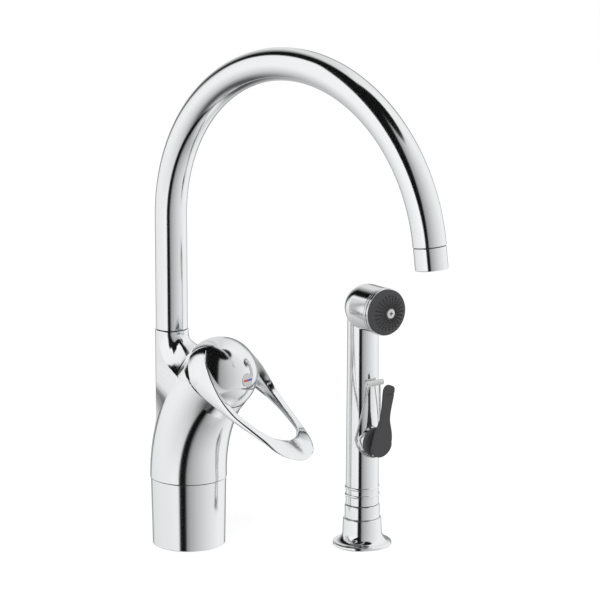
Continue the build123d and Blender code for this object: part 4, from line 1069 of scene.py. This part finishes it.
# its right side, which widens the dark gap beside the box as it rises
SIDE_SPAN = ((-118, 0.0), (-100, 1.0), (-12, 1.0), (-3, 0.0))
SIDE_RISE = ((-8, 0.0), (4, 1.0))
SIDE_EDGE = ((-27, -4), (-72, 46))
# its left leg
LEG_SPAN = ((-150, 0.0), (-136, 0.8), (-126, 0.8), (-116, 0.0))
LEG_RISE = ((2, 0.0), (14, 1.0), (60, 1.0))
# the dark cap overhead: azimuth and elevation of its middle, and half-widths of its dark and whole part
CAP_CENTRE = (40, 74)
CAP_INNER = 17
CAP_OUTER = 22
# a low dark screen far behind, seen as the thin line down the right side of each piece
SCREEN_SPAN = ((146, 0.0), (158, 0.85), (178, 0.85), (180, 0.0))
SCREEN_RISE = ((-38, 0.0), (-26, 1.0), (12, 1.0), (24, 0.0))
FLAG_LEVEL = 0.04
SCREEN_LEVEL = 0.25
STUDIO_GAIN = 1.08
# the lamp, in metres
LAMP_SIZE = (1.4, 1.0)
LAMP_AIM = Vector((0.05, -0.04, 0.12))
LAMP_OFFSET = Vector((-1.1, -0.5, 1.5))


def build_world(settings):
    """White to the camera, a plain sky for diffuse light, and a studio with dark flags for gloss."""
    world = bpy.data.worlds.new("studio")
    bpy.context.scene.world = world
    world.use_nodes = True
    world.node_tree.nodes.clear()
    graph = Graph(world.node_tree)
    direction = graph.add("ShaderNodeTexCoord").outputs["Generated"]
    turned_round = graph.add("ShaderNodeMapping", {"vector_type": "POINT"}, Vector=direction,
                             Rotation=(0.0, 0.0, pi / 2 - settings.azimuth)).outputs[0]
    axes = graph.add("ShaderNodeSeparateXYZ", i0=turned_round).outputs
    azimuth = graph.math("MULTIPLY_ADD", graph.math("ARCTAN2", axes[1], axes[0]), 1 / (2 * pi))
    height = graph.math("MULTIPLY_ADD", graph.math("ARCSINE", axes[2]), 1 / pi)
    for share in (azimuth, height):
        share.node.inputs[2].default_value = 0.5

    def across(stops):
        return graph.levels(azimuth, turn_place, stops)

    def up(stops):
        return graph.levels(height, height_place, stops)

    studio = graph.add("ShaderNodeMix", {"data_type": "RGBA", "blend_type": "MULTIPLY"}, i0=1.0)
    graph.feed(studio.inputs[6], across(WALL_LEVELS))
    graph.feed(studio.inputs[7], graph.mix(across(RIGHT_HALF), up(LEFT_FLOOR), up(RIGHT_FLOOR)))
    above = graph.fade(graph.along(turned_round, edge_normal(*FLAG_EDGE)), -0.06, 0.06)
    over = graph.fade(graph.along(turned_round, direction_from(*CAP_CENTRE)),
                      cos(radians(CAP_OUTER)), cos(radians(CAP_INNER)))
    flag = graph.math("MAXIMUM", graph.math("MULTIPLY", above, across(FLAG_SPAN)), over)
    beside = graph.fade(graph.along(turned_round, edge_normal(*SIDE_EDGE)), -0.03, 0.03)
    beside = graph.math("MULTIPLY", graph.math("MULTIPLY", beside, across(SIDE_SPAN)), up(SIDE_RISE))
    flag = graph.math("MAXIMUM", flag, beside)
    flag = graph.math("MAXIMUM", flag, graph.math("MULTIPLY", across(LEG_SPAN), up(LEG_RISE)))
    studio = graph.mix(flag, studio.outputs[2], grey(FLAG_LEVEL))
    screen = graph.math("MULTIPLY", across(SCREEN_SPAN), up(SCREEN_RISE))
    studio = graph.mix(screen, studio, grey(SCREEN_LEVEL))
    studio = graph.add("ShaderNodeVectorMath", {"operation": "SCALE"}, i0=studio,
                       Scale=STUDIO_GAIN).outputs[0]

    path = graph.add("ShaderNodeLightPath").outputs
    shiny = graph.math("MAXIMUM", path["Is Glossy Ray"], path["Is Transmission Ray"])
    plain = (settings.sky_level,) * 3 + (1.0,)
    colour = graph.mix(shiny, plain, studio)
    colour = graph.mix(path["Is Camera Ray"], colour, grey(1.0))
    background = graph.add("ShaderNodeBackground", Color=colour, Strength=1.0)
    graph.add("ShaderNodeOutputWorld", i0=background.outputs[0])


def direction_from(azimuth, elevation):
    """Unit vector of a direction given from the camera's side, in degrees."""
    a, e = radians(azimuth), radians(elevation)
    return Vector((cos(e) * cos(a), cos(e) * sin(a), sin(e)))


def edge_normal(first, second):
    """Upward normal of the plane through the eye and two directions along an edge."""
    normal = direction_from(*first).cross(direction_from(*second)).normalized()
    return normal if normal.z > 0 else -normal


def hang_lamp(settings):
    """One large soft lamp above the left shoulder of the camera."""
    lamp = bpy.data.lights.new("soft_lamp", "AREA")
    lamp.shape = "RECTANGLE"
    lamp.size, lamp.size_y = LAMP_SIZE
    lamp.energy = settings.lamp_power
    holder = bpy.data.objects.new("soft_lamp", lamp)
    bpy.context.scene.collection.objects.link(holder)
    turn = LAMP_OFFSET.to_track_quat("Z", "Y").to_matrix().to_4x4()
    holder.matrix_world = Matrix.Translation(LAMP_AIM + LAMP_OFFSET) @ turn
    holder.visible_glossy = False
    holder.visible_camera = False


def place_camera(settings):
    """The camera at the picture's viewing angle."""
    a, e = settings.azimuth, settings.elevation
    back = Vector((sin(a) * cos(e), -cos(a) * cos(e), sin(e)))
    camera = bpy.data.cameras.new("camera")
    camera.lens = settings.lens
    camera.sensor_width = 36.0
    camera.clip_end = 50.0
    holder = bpy.data.objects.new("camera", camera)
    bpy.context.scene.collection.objects.link(holder)
    place = Vector(settings.target) + settings.distance * back
    holder.matrix_world = Matrix.Translation(place) @ back.to_track_quat("Z", "Y").to_matrix().to_4x4()
    bpy.context.scene.camera = holder


# ---------------------------------------------------------------- panel
OPERATORS = (MIXER_OT_materials, MIXER_OT_body, MIXER_OT_spout, MIXER_OT_lever, MIXER_OT_spray_body,
             MIXER_OT_spray_face, MIXER_OT_small_pieces, MIXER_OT_studio)


class MIXER_PT_panel(bpy.types.Panel):
    """The steps, in the order in which they are run"""

    bl_idname = "MIXER_PT_panel"
    bl_label = "Mixer"
    bl_space_type = "VIEW_3D"
    bl_region_type = "UI"
    bl_category = "Mixer"

    def draw(self, context):
        for settings in (context.scene.mixer, context.scene.mixer_studio):
            for name in settings.__annotations__:
                self.layout.prop(settings, name)
        for operator in OPERATORS:
            self.layout.operator(operator.bl_idname)


CLASSES = (MixerSettings, StudioSettings) + OPERATORS + (MIXER_PT_panel,)


def register():
    """Register the classes and hang the settings on the scene."""
    for cls in CLASSES:
        bpy.utils.register_class(cls)
    bpy.types.Scene.mixer = PointerProperty(type=MixerSettings)
    bpy.types.Scene.mixer_studio = PointerProperty(type=StudioSettings)


def unregister():
    """Take the settings and the classes away again."""
    del bpy.types.Scene.mixer_studio
    del bpy.types.Scene.mixer
    for cls in reversed(CLASSES):
        bpy.utils.unregister_class(cls)


def main():
    """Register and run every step."""
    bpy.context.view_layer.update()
    register()
    for name in ("materials", "body", "spout", "lever", "spray_body", "spray_face", "small_pieces",
                 "studio"):
        getattr(bpy.ops.mixer, name)()


if __name__ == "__main__":
    main()
